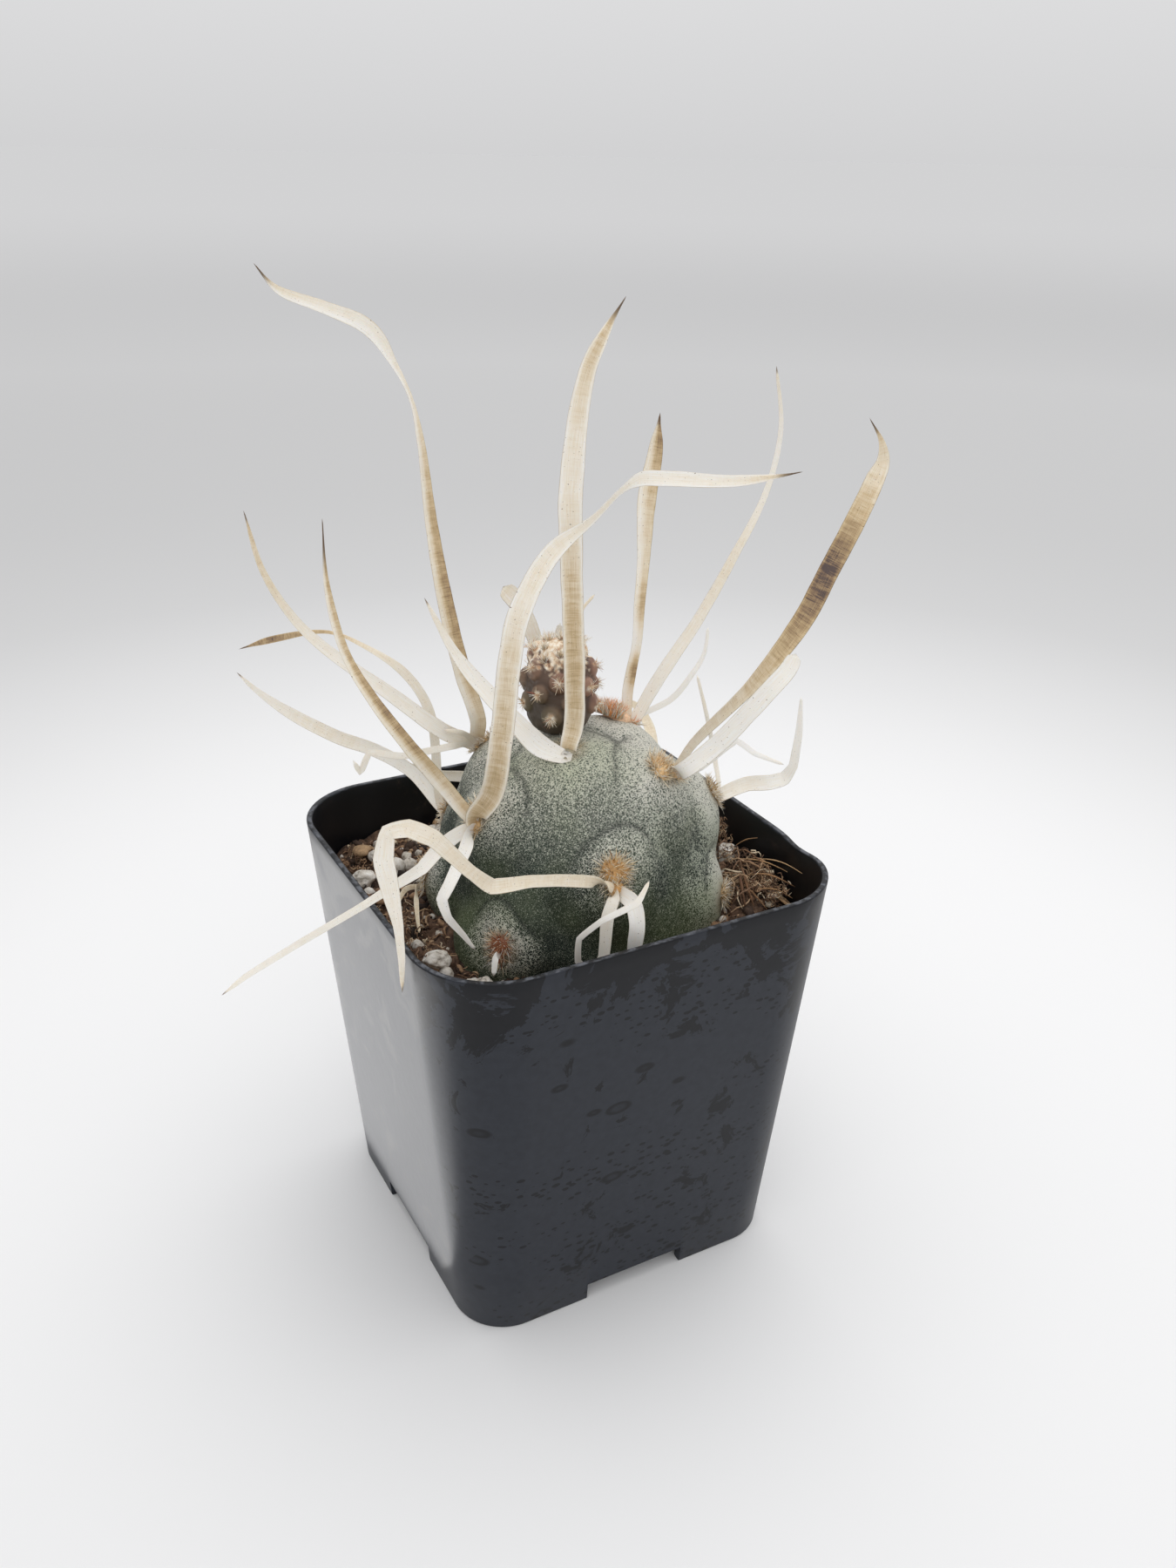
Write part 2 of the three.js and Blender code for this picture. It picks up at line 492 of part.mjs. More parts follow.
function makeYoungJoint() {
  const body = moulded(youngDetail, (direction) => youngPoint(direction));
  const up = new THREE.Vector3(0, 0, 1);
  const tubercleNeedles = youngTubercles.flatMap(({ tip }, i) => (
    spread(tip, youngTuftNeedles, 0.7, i + 5).map(({ direction, scale }) => (
      needle(youngPoint(tip, -0.5), direction, 0.5 + youngNeedleLength * scale)))));
  const crown = spread(up, youngCrownNeedles, 0.7, 3).map(({ direction, scale }) => (
    needle(youngPoint(direction, -0.5), direction, 0.5 + youngCrownLength * scale)));
  return joinAll([body, ...tubercleNeedles, ...crown]);
}

// The height of the soil's lumpy top, with its heap.
function soilHeight(x, y) {
  const ripples = Math.sin(x * 0.9 + y * 0.35) + Math.sin(y * 0.8 - x * 0.5 + 1);
  const lumps = ripples + Math.sin(x * 0.33 - y * 0.41);
  const distance = Math.hypot(x - soilHeap[0], y - soilHeap[1]) / soilHeapWidth;
  const dip = Math.hypot(x - soilDip[0], y - soilDip[1]) / soilDipWidth;
  const rise = soilHeapHeight * Math.exp(-distance * distance) - soilDipDepth * Math.exp(-dip * dip);
  return soilLevel + (soilLump * lumps) / 2 + rise;
}

// The soil fills the pot up to its lumpy top, drawn as shrinking copies of the pot's outline.
function makeSoilBlock() {
  const ringParts = [1, 0.94, 0.86, 0.78, 0.7, 0.6, 0.45, 0.25];
  const outline = (z) => potOutline(z, potWall + touchGap);
  const rings = [outline(potFloorTop + touchGap), outline(soilLevel - 6)];
  ringParts.forEach((part) => rings.push(outline(soilLevel).map(([x, y]) => {
    const [u, v] = [x * part, y * part];
    return [u, v, soilHeight(u, v)];
  })));
  return toSolid(loft(rings));
}

// A square-sided coir strand that arches out of the soil.
function makeStrand([start, end, rise, radius]) {
  const from = new THREE.Vector3(...start);
  const to = new THREE.Vector3(...end);
  const middle = from.clone().add(to).multiplyScalar(0.5);
  middle.z += rise * 2;
  const curve = new THREE.QuadraticBezierCurve3(from, middle, to);
  const section = new THREE.Shape(Array.from({ length: 4 }, (_, i) => (
    new THREE.Vector2(radius * Math.cos((i * Math.PI) / 2), radius * Math.sin((i * Math.PI) / 2)))));
  return toSolid(new THREE.ExtrudeGeometry(section, { steps: 6, bevelEnabled: false, extrudePath: curve }));
}

// A perlite grain: a rough rounded crumb. A gap makes the pocket that it sits in.
function makeGrain([x, y, length, width, height], seed, gap) {
  const z = soilHeight(x, y) + height * perliteStandsOut;
  return moulded(1, (direction) => {
    const rough = 1 + 0.14 * Math.sin(5 * direction.x + seed * 1.7) * Math.cos(4 * direction.y - seed);
    const size = new THREE.Vector3(length, width, height).multiplyScalar(rough).addScalar(gap);
    return direction.clone().multiply(size).add(new THREE.Vector3(x, y, z));
  });
}

// The pot
addPiece('pot', makePot(), potBlack, 0.45);

// The perlite grains, and the soil with a pocket for each and a plain hole for the stem
const grains = perliteGrains.map((grain, i) => makeGrain(grain, i, 0));
const pockets = perliteGrains.map((grain, i) => makeGrain(grain, i, touchGap));
grains.forEach((grain, i) => addPiece(`perlite_${i + 1}`, grain, perliteWhite, 0.95));
const stemHole = moulded(stemHoleDetail, (direction) => stemPoint(direction, stemHoleGap));
const soil = joinAll([makeSoilBlock(), ...coirStrands.map(makeStrand)]);
addPiece('soil', soil.subtract(joinAll([stemHole, ...pockets])), soilBrown, 1);

// The spine sprays and glochid tufts, one of each at every areole that has them
const pits = [];
Object.entries(areoles).forEach(([name, areole], i) => {
  const { rootSeat, tuftSeat } = areoleSeats(areole);
  const ribbons = spines.filter(([home]) => home === name).map(([, rows]) => ribbon(rootSeat, rows));
  let spray = null;
  if (ribbons.length > 0) {
    const root = plug(rootSeat.point, rootSeat.normal, areole.root, plugDepth, plugLift);
    spray = joinAll([root, ...ribbons]);
    addPiece(`spines_${name}`, spray, paperCream, 0.6);
    pits.push(plug(rootSeat.point, rootSeat.normal, areole.root + touchGap, plugDepth + touchGap, plugLift));
  }
  addPiece(`glochids_${name}`, makeTuft(areole, tuftSeat, spray, i + 11), glochidTan, 0.8);
  pits.push(plug(tuftSeat.point, tuftSeat.normal, areole.tuft + touchGap, plugDepth + touchGap, plugLift));
});

// The young joint and the stem, with pits for what stands in it
addPiece('young_joint', makeYoungJoint(), youngPurple, 0.7);
const youngSeat = moulded(youngDetail, (direction) => youngPoint(direction, touchGap));
const stem = moulded(stemDetail, (direction) => stemPoint(direction));
addPiece('stem', stem.subtract(joinAll([youngSeat, ...pits])), stemGreen, 0.75);

export default group;
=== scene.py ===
import functools
import math
import random

import bpy
from mathutils import Matrix, Vector, noise


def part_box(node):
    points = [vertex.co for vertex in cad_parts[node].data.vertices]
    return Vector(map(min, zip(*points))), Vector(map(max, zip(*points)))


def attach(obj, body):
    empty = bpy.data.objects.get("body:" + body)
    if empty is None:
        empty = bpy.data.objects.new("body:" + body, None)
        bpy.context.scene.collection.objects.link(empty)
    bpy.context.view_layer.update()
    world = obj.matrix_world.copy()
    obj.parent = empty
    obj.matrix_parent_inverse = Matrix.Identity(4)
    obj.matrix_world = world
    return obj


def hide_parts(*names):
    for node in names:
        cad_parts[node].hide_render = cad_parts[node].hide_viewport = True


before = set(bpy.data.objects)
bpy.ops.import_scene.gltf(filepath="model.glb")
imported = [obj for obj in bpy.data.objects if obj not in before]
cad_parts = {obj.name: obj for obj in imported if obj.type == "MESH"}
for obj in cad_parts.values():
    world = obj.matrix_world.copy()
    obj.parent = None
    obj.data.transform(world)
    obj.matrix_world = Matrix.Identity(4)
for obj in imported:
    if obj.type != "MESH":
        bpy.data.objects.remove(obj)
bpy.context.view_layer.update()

# Pot
# The real pot is a small square nursery pot, moulded in one piece from black polypropylene.
# It has thin tapered walls, a rolled-off rim with a dent, a notch in each side and drain holes.
MM = 0.001
POT_HEIGHT = 62.5
POT_TOP_HALF = 31
POT_BASE_HALF = 25.5
POT_TOP_CORNER = 11.8
POT_BASE_CORNER = 7.7
POT_WALL = 0.9
POT_FLOOR_UNDER = 3
POT_FLOOR_TOP = 4
FOOT_WIDTH = 1.44
RIM_ROUND = 0.28
NOTCH_WIDTH = 16
NOTCH_HEIGHT = 3
DRAIN_RADIUS = 3
DRAIN_REACH = 13
DENT_DEPTH = 0.9
DENT_Y = -18
DENT_WIDTH = 3.5
STRAIGHT_SHARE = 0.6
CELLS_ROUND = 160
FLOOR_RINGS = 6
FILLET_STEPS = 3
SMOOTH_ANGLE = 35


def blend_numbers(low, high, part):
    return low + (high - low) * part


def pot_outline(turn, height, inset):
    """A point of the pot's rounded square outline, from a turn of 0 to 1, in millimetres."""
    part = height / POT_HEIGHT
    half = blend_numbers(POT_BASE_HALF, POT_TOP_HALF, part) - inset
    corner = blend_numbers(POT_BASE_CORNER, POT_TOP_CORNER, part) - inset
    quarter, share = divmod(turn * 4, 1)
    x = half
    y = (half - corner) * (2 * share / STRAIGHT_SHARE - 1)
    if share > STRAIGHT_SHARE:
        angle = (share - STRAIGHT_SHARE) / (1 - STRAIGHT_SHARE) * math.pi / 2
        x = half - corner + corner * math.cos(angle)
        y = half - corner + corner * math.sin(angle)
    point = Matrix.Rotation(quarter * math.pi / 2, 2) @ Vector((x, y))
    if point.x > 0:
        away = (point.y - DENT_Y) / DENT_WIDTH
        point.x -= DENT_DEPTH * part ** 6 * math.exp(-away * away) * point.x / half
    return point


def primitive(operator, name, **settings):
    """Adds a primitive with nothing else selected, and names it."""
    bpy.ops.object.select_all(action="DESELECT")
    operator(**settings)
    piece = bpy.context.object
    piece.name = name
    piece.data.name = name
    return piece


def pick(*pieces):
    """Selects pieces alone, with the first as the active one."""
    bpy.ops.object.select_all(action="DESELECT")
    for piece in pieces:
        piece.select_set(True)
    bpy.context.view_layer.objects.active = pieces[0]


def edit(piece, *steps):
    """Runs edit-mode operators, each a pair of operator and settings, on all of a piece."""
    pick(piece)
    bpy.ops.object.mode_set(mode="EDIT")
    bpy.ops.mesh.select_all(action="SELECT")
    for operator, settings in steps:
        operator(**settings)
    bpy.ops.object.mode_set(mode="OBJECT")


MERGE_POINTS = (bpy.ops.mesh.remove_doubles, {"threshold": 1e-6})
TURN_OUTWARD = (bpy.ops.mesh.normals_make_consistent, {"inside": False})


def cut(piece, cutter):
    """Cuts a piece with a cutter, which is then removed."""
    bpy.context.view_layer.objects.active = piece
    modifier = piece.modifiers.new("cut", "BOOLEAN")
    modifier.operation = "DIFFERENCE"
    modifier.object = cutter
    bpy.ops.object.modifier_apply(modifier=modifier.name)
    bpy.data.objects.remove(cutter)


def joined(pieces, name):
    """Joins pieces into one, with its object at the origin."""
    pick(*pieces)
    if len(pieces) > 1:
        bpy.ops.object.join()
    whole = bpy.context.object
    bpy.ops.object.transform_apply(location=True, rotation=True, scale=True)
    whole.name = name
    whole.data.name = name
    return whole


def place_on_root(piece, material, slot, *nodes):
    """Gives a piece its first material and its place in the frame."""
    piece.data.materials.append(material)
    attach(piece, "root")
    if nodes:
        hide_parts(*nodes)


def linear(code):
    """A colour like "#8b6b48" as linear red, green, blue and alpha."""
    parts = [int(code[i:i + 2], 16) / 255 for i in (1, 3, 5)]
    return (*[p / 12.92 if p <= 0.04045 else ((p + 0.055) / 1.055) ** 2.4 for p in parts], 1)


def wire(node, inputs):
    """Sets a node's inputs by name, or as a list of those that its settings leave in use.

    Each is given by a node, by one of its outputs, by a colour like "#8b6b48" or by a number.
    """
    if isinstance(inputs, list):
        inputs = dict(zip([i for i, socket in enumerate(node.inputs) if socket.enabled], inputs))
    for name, value in inputs.items():
        if isinstance(value, bpy.types.Node):
            value = next(output for output in value.outputs if output.enabled)
        if isinstance(value, bpy.types.NodeSocket):
            node.id_data.links.new(value, node.inputs[name])
        else:
            node.inputs[name].default_value = linear(value) if isinstance(value, str) else value


def add_node(tree, kind, inputs=None, stops=None, **settings):
    """Adds a shader node with its settings, its inputs and a ramp's stops.

    A MapRange lists its value, the range it comes from and the range it goes to. A Mix lists the
    share of the second, the first and the second.
    """
    made = tree.nodes.new("ShaderNode" + kind)
    for name, value in settings.items():
        setattr(made, name, value)
    wire(made, inputs or {})
    if stops:
        ramp = made.color_ramp
        while len(ramp.elements) < len(stops):
            ramp.elements.new(1)
        for element, (position, code) in zip(ramp.elements, stops):
            element.position = position
            element.color = linear(code)
    return made


def new_material(name):
    """A named material, its shader, and the function that adds a node to its tree."""
    material = bpy.data.materials.new(name)
    material.use_nodes = True
    tree = material.node_tree
    return material, tree.nodes["Principled BSDF"], functools.partial(add_node, tree)


def fillet(z, inset, z_side, inset_side):
    """Points round a corner of the pot's profile, as pairs of height and inset."""
    points = []
    for i in range(FILLET_STEPS + 1):
        angle = i / FILLET_STEPS * math.pi / 2
        rise, run = math.sin(angle), 1 - math.cos(angle)
        points.append((z - z_side * RIM_ROUND * (1 - rise), inset + inset_side * RIM_ROUND * run))
    return points


# The profile runs from the floor's underside, round the foot, up the outside, over the rim and
# down the inside to the floor's top. Each point is a height, an inset and a share of the outline.
profile = [(POT_FLOOR_UNDER, FOOT_WIDTH, ring / FLOOR_RINGS) for ring in range(FLOOR_RINGS)]
profile += [(POT_FLOOR_UNDER, FOOT_WIDTH, 1), (RIM_ROUND, FOOT_WIDTH, 1)]
profile += [(0, FOOT_WIDTH - RIM_ROUND, 1), (0, RIM_ROUND, 1), (RIM_ROUND * 0.3, RIM_ROUND * 0.3, 1)]
profile += [(RIM_ROUND, 0, 1)]
profile += [(height, 0, 1) for height in (10, 20, 30, 38, 44, 49, 53, 56, 58.5, 60.5)]
profile += [(z, inset, 1) for z, inset in fillet(POT_HEIGHT, 0, 1, 1)]
profile += [(z, inset, 1) for z, inset in reversed(fillet(POT_HEIGHT, POT_WALL, 1, -1))]
profile += [(height, POT_WALL, 1) for height in (60.5, 58.5, 56, 53, 49, 44, 30, POT_FLOOR_TOP)]
profile += [(POT_FLOOR_TOP, POT_WALL, ring / FLOOR_RINGS) for ring in reversed(range(FLOOR_RINGS))]

pot = primitive(
    bpy.ops.mesh.primitive_grid_add, "pot_shell", size=1,
    x_subdivisions=CELLS_ROUND, y_subdivisions=len(profile) - 1)
for vertex in pot.data.vertices:
    height, inset, share = profile[round((vertex.co.y + 0.5) * (len(profile) - 1))]
    turn = round((vertex.co.x + 0.5) * CELLS_ROUND) % CELLS_ROUND / CELLS_ROUND
    point = pot_outline(turn, height, inset) * share
    vertex.co = Vector((point.x, point.y, height)) * MM
edit(pot, MERGE_POINTS, TURN_OUTWARD)
for side in range(4):
    turn = Matrix.Rotation(side * math.pi / 2, 3, "Z")
    notch = primitive(bpy.ops.mesh.primitive_cube_add, "notch", size=1,
                      location=turn @ Vector((0, -POT_BASE_HALF, 0)) * MM,
                      rotation=(0, 0, side * math.pi / 2))
    notch.scale = Vector((NOTCH_WIDTH, FOOT_WIDTH * 3, NOTCH_HEIGHT * 2)) * MM
    cut(pot, joined([notch], "notch"))
    hole = primitive(bpy.ops.mesh.primitive_cylinder_add, "hole", vertices=32, radius=DRAIN_RADIUS * MM,
                     depth=POT_FLOOR_TOP * 2 * MM,
                     location=turn @ Vector((DRAIN_REACH, DRAIN_REACH, POT_FLOOR_TOP)) * MM)
    cut(pot, joined([hole], "hole"))
pick(pot)
bpy.ops.object.shade_smooth_by_angle(angle=math.radians(SMOOTH_ANGLE))

# Satin black polypropylene: dark slate where it is clean, with a grey film of dried water that
# drops and runs have washed off in slanting spots.
outer, shader, add = new_material("satin black polypropylene with dried water marks")
where = add("TexCoord").outputs["Object"]
lean = add("Mapping", {"Vector": where, "Rotation": (0.5, 0.62, 0), "Scale": (760, 760, 1500)})
drops = add("TexVoronoi", {"Vector": lean, "Scale": 1.0, "Randomness": 1.0})
drop_size = add("SeparateColor", [drops.outputs["Color"]])
belt_at = add("Mapping", {"Vector": where, "Rotation": (0.5, 0.62, 0), "Scale": (14, 14, 60)})
belt = add("TexNoise", {"Vector": belt_at, "Scale": 1.0, "Detail": 2})
belt_part = add("MapRange", [belt, 0.46, 0.6, -0.55, 0.0])
reach = add("MapRange", [drop_size.outputs[0], 0.2, 1.0, 0.0, 0.55])
reach_here = add("Math", [reach, belt_part])
small_drop = add("Math", [reach_here, drops], operation="SUBTRACT")
small = add("MapRange", [small_drop, -0.02, 0.08])
wide = add("Mapping", {"Vector": where, "Rotation": (0.5, 0.62, 0), "Scale": (150, 150, 300)})
blots = add("TexVoronoi", {"Vector": wide, "Scale": 1.0, "Randomness": 1.0})
blot_size = add("SeparateColor", [blots.outputs["Color"]])
blot_reach = add("MapRange", [blot_size.outputs[1], 0.55, 1.0, -0.1, 0.34])
blot = add("Math", [blot_reach, blots], operation="SUBTRACT")
big_edge = add("MapRange", [blot, -0.02, 0.05])
big_middle = add("MapRange", [blot, 0.1, 0.2, 0.0, 0.7])
big = add("Math", [big_edge, big_middle], operation="SUBTRACT")
film = add("TexNoise", {"Vector": where, "Scale": 125, "Detail": 8, "Roughness": 0.66, "Distortion": 0.7})
parts = add("SeparateXYZ", [where])
upward = add("MapRange", [parts.outputs[2], 0.044, 0.060, -0.035, 0.105])
film_level = add("Math", [film, upward], operation="SUBTRACT")
washed = add("MapRange", [film_level, 0.42, 0.44, 1.0, 0.0])
spots = add("Math", [small, big], operation="MAXIMUM")
clean = add("Math", [spots, washed], operation="MAXIMUM", use_clamp=True)
grain = add("TexNoise", {"Vector": where, "Scale": 900, "Detail": 4})
colour = add("Mix", [clean, "#2a2d34", "#15161a"], data_type="RGBA")
fleck = add("MapRange", [grain, 0.3, 0.7, 0.9, 1.1])
tinted = add("Mix", [1.0, colour, fleck], data_type="RGBA", blend_type="MULTIPLY")
scratch_at = add("Mapping", {"Vector": where, "Scale": (900, 900, 5000)})
scratches = add("TexNoise", {"Vector": scratch_at, "Scale": 1.0, "Detail": 5})
scratched = add("MapRange", [scratches, 0.45, 0.62])
at_rim = add("MapRange", [parts.outputs[2], 0.06238, 0.0625])
rubbed = add("Math", [scratched, at_rim], operation="MULTIPLY")
rubbed_rim = add("Mix", [rubbed, tinted, "#5c5f66"], data_type="RGBA")
gloss = add("MapRange", [clean, 0, 1, 0.4, 0.37])
wave = add("TexNoise", {"Vector": where, "Scale": 120, "Detail": 3})
relief = add("Mix", [0.25, wave, grain])
bump = add("Bump", {"Height": relief, "Strength": 0.12, "Distance": 0.0004})
wire(shader, {
    "Base Color": rubbed_rim, "Roughness": gloss, "Specular IOR Level": 0.25, "IOR": 1.49,
    "Normal": bump})

# The same plastic inside, cleaner, and painted darker than outside as painted shade, with crumbs
# of dried soil dust above the soil.
inner_painted_shade, shader, add = new_material("black polypropylene inside, dusty, painted darker for shade")
where = add("TexCoord").outputs["Object"]
dust = add("TexNoise", {"Vector": where, "Scale": 320, "Detail": 6, "Roughness": 0.7})
dusty = add("MapRange", [dust, 0.62, 0.75])
colour = add("Mix", [dusty, "#0a0b0f", "#3c312b"], data_type="RGBA")
wire(shader, {"Base Color": colour, "Roughness": 0.42})
place_on_root(pot, outer, "pot_plastic", "pot")
pot.data.materials.append(inner_painted_shade)
# Inward faces between the floor and the rim take the inside plastic, whose darker colour is painted
# shade.
for face in pot.data.polygons:
    middle = face.center / MM
    inward = face.normal.x * middle.x + face.normal.y * middle.y < 0
    face.material_index = 1 if inward and POT_FLOOR_TOP - 1 < middle.z < POT_HEIGHT - 0.5 else 0

# Potting mix
# The real mix is loose brown coir, bark and grit that fills the pot to about 9 mm under its rim.
# It is one lumpy body here, with crumbs, bark chips and coir strands lying on it.
TOUCH_GAP = 0.3
SOIL_LEVEL = 53.5
SOIL_LUMP = 0.8
SOIL_HEAP = Vector((25, -9))
SOIL_HEAP_HEIGHT = 3
SOIL_HEAP_WIDTH = 7
SOIL_DIP = Vector((-16, -16))
SOIL_DIP_DEPTH = 3.2
SOIL_DIP_WIDTH = 9
SOIL_CELLS = 150
SOIL_SIDE_DROP = 40
SOIL_SIDE_BELOW = 30
SOIL_HALF = 30
CRUMB_COUNT = 1500
CHIP_STRETCH = 1.3
STRAND_COUNT = 420
STRAND_SIDES = 4
STRAND_TAPER = 0.6
STRAND_LIMIT = 27.6
HEAP_STRAND_EVERY = 4
ANY_TURN = 6.28


def ease(low, high, value):
    """0 below low, 1 above high, and a smooth step between them."""
    part = min(max((value - low) / (high - low), 0), 1)
    return part * part * (3 - 2 * part)


def soil_height(x, y):
    """The height of the soil's top, in millimetres, before its small lumps."""
    lumps = math.sin(x * 0.9 + y * 0.35) + math.sin(y * 0.8 - x * 0.5 + 1) + math.sin(x * 0.33 - y * 0.41)
    distance = (Vector((x, y)) - SOIL_HEAP).length / SOIL_HEAP_WIDTH
    dip = (Vector((x, y)) - SOIL_DIP).length / SOIL_DIP_WIDTH
    rise = SOIL_HEAP_HEIGHT * math.exp(-distance * distance) - SOIL_DIP_DEPTH * math.exp(-dip * dip)
    return SOIL_LEVEL + SOIL_LUMP * lumps / 2 + rise


def small_lumps(x, y):
    """The soil's small lumps, in millimetres, two sizes of noise."""
    spot = Vector((x, y, 3))
    return 0.55 * noise.noise(spot * 0.6) + 0.5 * noise.noise(spot * 1.7) - 0.2


def soil_edge(x, y):
    """A point of a square of half width 1, moved to the same share of the soil's outline."""
    share = max(abs(x), abs(y))
    if share == 0:
        return Vector((0, 0))
    side, along = max((x, (0, y)), (y, (1, -x)), (-x, (2, -y)), (-y, (3, x)))[1]
    turn = (side + (along / share + 1) / 2 - (1 - STRAIGHT_SHARE) / 2) / 4 % 1
    return pot_outline(turn, SOIL_LEVEL, POT_WALL + TOUCH_GAP) * share


soil = primitive(bpy.ops.mesh.primitive_grid_add, "soil_body", size=2,
                 x_subdivisions=SOIL_CELLS, y_subdivisions=SOIL_CELLS)
for vertex in soil.data.vertices:
    spot = soil_edge(vertex.co.x, vertex.co.y)
    rim = ease(0.97, 1, max(abs(vertex.co.x), abs(vertex.co.y)))
    height = soil_height(spot.x, spot.y) + small_lumps(spot.x, spot.y) * (1 - rim)
    vertex.co = Vector((spot.x, spot.y, height)) * MM
# The sides are drawn down from the open edge to the pot's floor, and closed underneath.
down = {"value": (0, 0, -SOIL_SIDE_DROP * MM)}
edit(
    soil,
    (bpy.ops.mesh.select_all, {"action": "DESELECT"}),
    (bpy.ops.mesh.select_non_manifold, {}),
    (bpy.ops.mesh.extrude_region_move, {"TRANSFORM_OT_translate": down}),
    (bpy.ops.mesh.edge_face_add, {}),
    (bpy.ops.mesh.select_all, {"action": "SELECT"}),
    TURN_OUTWARD)
taper = (POT_BASE_HALF - POT_WALL - TOUCH_GAP) / (POT_TOP_HALF - POT_WALL - TOUCH_GAP)
for vertex in soil.data.vertices:
    if vertex.co.z < SOIL_SIDE_BELOW * MM:
        vertex.co.x *= taper
        vertex.co.y *= taper
        vertex.co.z = (POT_FLOOR_TOP + TOUCH_GAP) * MM

# Damp coir and peat: dark brown with lighter fibres and a few pale grits.
mix, shader, add = new_material("damp coir and peat")
where = add("TexCoord").outputs["Object"]
grit = add("TexNoise", {"Vector": where, "Scale": 700, "Detail": 8, "Roughness": 0.7})
clumps = add("TexNoise", {"Vector": where, "Scale": 160, "Detail": 5, "Distortion": 1.2})
shares = add("Mix", [0.5, grit, clumps])
colour = add("ValToRGB", [shares], stops=[
    (0.32, "#2a1f19"), (0.45, "#473428"), (0.55, "#6d5442"), (0.64, "#967a60"), (0.74, "#c2a98a")])
bump = add("Bump", {"Height": shares, "Strength": 0.9, "Distance": 0.0008})
wire(shader, {"Base Color": colour, "Roughness": 0.9, "Normal": bump})
place_on_root(soil, mix, "potting_mix", "soil")

# The stem joint's middle and radius, which the crumbs and strands keep clear of.
STEM_CENTRE = Vector((2.5, -1.4, 50))
STEM_RADIUS = 19.6


def set_attribute(piece, name, values, kind="FLOAT"):
    """A value for each vertex, or a colour for each vertex."""
    attribute = piece.data.attributes.new(name, kind, "POINT")
    if kind == "FLOAT":
        attribute.data.foreach_set("value", values)
    else:
        attribute.data.foreach_set("color", [part for colour in values for part in colour])


def smooth(piece):
    for face in piece.data.polygons:
        face.use_smooth = True


def many_bodies(name, bodies):
    """One mesh of many small closed bodies, each a pair of its points and faces, and its colour."""
    points, faces, tints = [], [], []
    for (body_points, body_faces), code in bodies:
        start = len(points)
        points += body_points
        faces += [[start + i for i in face] for face in body_faces]
        tints += [linear(code)] * len(body_points)
    mesh = bpy.data.meshes.new(name)
    mesh.from_pydata([point * MM for point in points], [], faces)
    piece = bpy.data.objects.new(name, mesh)
    bpy.context.scene.collection.objects.link(piece)
    set_attribute(piece, "tint", tints, "FLOAT_COLOR")
    smooth(piece)
    return piece


def ball(name, subdivisions):
    """A ball of radius 1 in even triangles."""
    return primitive(bpy.ops.mesh.primitive_ico_sphere_add, name, subdivisions=subdivisions, radius=1)


def seed_body(subdivisions):
    """A ball's points and faces, as a body that is modelled once and copied."""
    piece = ball("seed", subdivisions)
    points = [vertex.co.copy() for vertex in piece.data.vertices]
    faces = [list(face.vertices) for face in piece.data.polygons]
    bpy.data.objects.remove(piece)
    return points, faces


def turned(direction, spin=0):
    """The turn that takes +Z to a direction, with a spin about it."""
    return direction.to_track_quat("Z", "Y").to_matrix() @ Matrix.Rotation(spin, 3, "Z")


def ring(middle, turn, radius, sides):
    """Points round a middle, in a plane across the turned +Z."""
    angles = [2 * math.pi * side / sides for side in range(sides)]
    return [middle + turn @ Vector((math.cos(angle), math.sin(angle), 0)) * radius for angle in angles]


def tube_faces(rings, sides):
    """The faces between rings that follow each other."""
    faces = []
    for start in range(0, (rings - 1) * sides, sides):
        for side in range(sides):
            a, b = start + side, start + (side + 1) % sides
            faces.append([a, b, b + sides, a + sides])
    return faces


def strand(points, radius):
    """A thin tapered strand along points."""
    corners = []
    last = len(points) - 1
    for i, point in enumerate(points):
        ahead = points[min(i + 1, last)] - points[max(i - 1, 0)]
        thick = radius * (1 - STRAND_TAPER * abs(2 * i / last - 1))
        corners += ring(point, turned(ahead.normalized()), thick, STRAND_SIDES)
    start, end = list(range(STRAND_SIDES)), list(range(last * STRAND_SIDES, len(corners)))
    return corners, tube_faces(len(points), STRAND_SIDES) + [start[::-1], end]


def soil_spot(rng, margin=1.2):
    """A random place on the soil, clear of the stem and of the pot's wall."""
    while True:
        spot = soil_edge(rng.uniform(-1, 1), rng.uniform(-1, 1)) * (1 - margin / SOIL_HALF)
        if (spot - STEM_CENTRE.xy).length > STEM_RADIUS * 0.9:
            return spot


# Pieces of bark and grit that stand out: x, y, the height over the soil, length, width, thickness,
# heading and colour.
chips = [
    (27.6, -18.2, 1.3, 2.4, 1.5, 0.4, 20, "#c7a27a"), (27.8, -14, 0.9, 1.3, 1.0, 0.5, 70, "#e0cfb2"),
    (25.6, -17.6, 0.5, 1.2, 0.9, 0.6, 10, "#e0d2bc"), (24.2, -14.6, 0.9, 1.8, 0.6, 0.4, 100, "#8a664a"),
    (-22, 23.6, 0.6, 4.0, 2.4, 1.1, 40, "#b39370"), (-8, 27, 0.9, 1.2, 1.2, 1.0, 0, "#a98866"),
    (-24.6, 8, 0.5, 2.6, 1.2, 0.6, 80, "#8f6f52"), (-25, -12, 0.4, 2.0, 1.1, 0.6, 120, "#a5835f"),
    (-4, 25.6, 0.4, 2.8, 1.4, 0.6, 15, "#7a5a43"), (12, 26, 0.5, 2.6, 1.3, 0.7, 160, "#ab8b68"),
    (25, 19, 0.5, 2.2, 1.5, 0.8, 50, "#96755a"), (24.6, 8, 0.5, 1.8, 1.1, 0.6, 95, "#c2a887"),
]
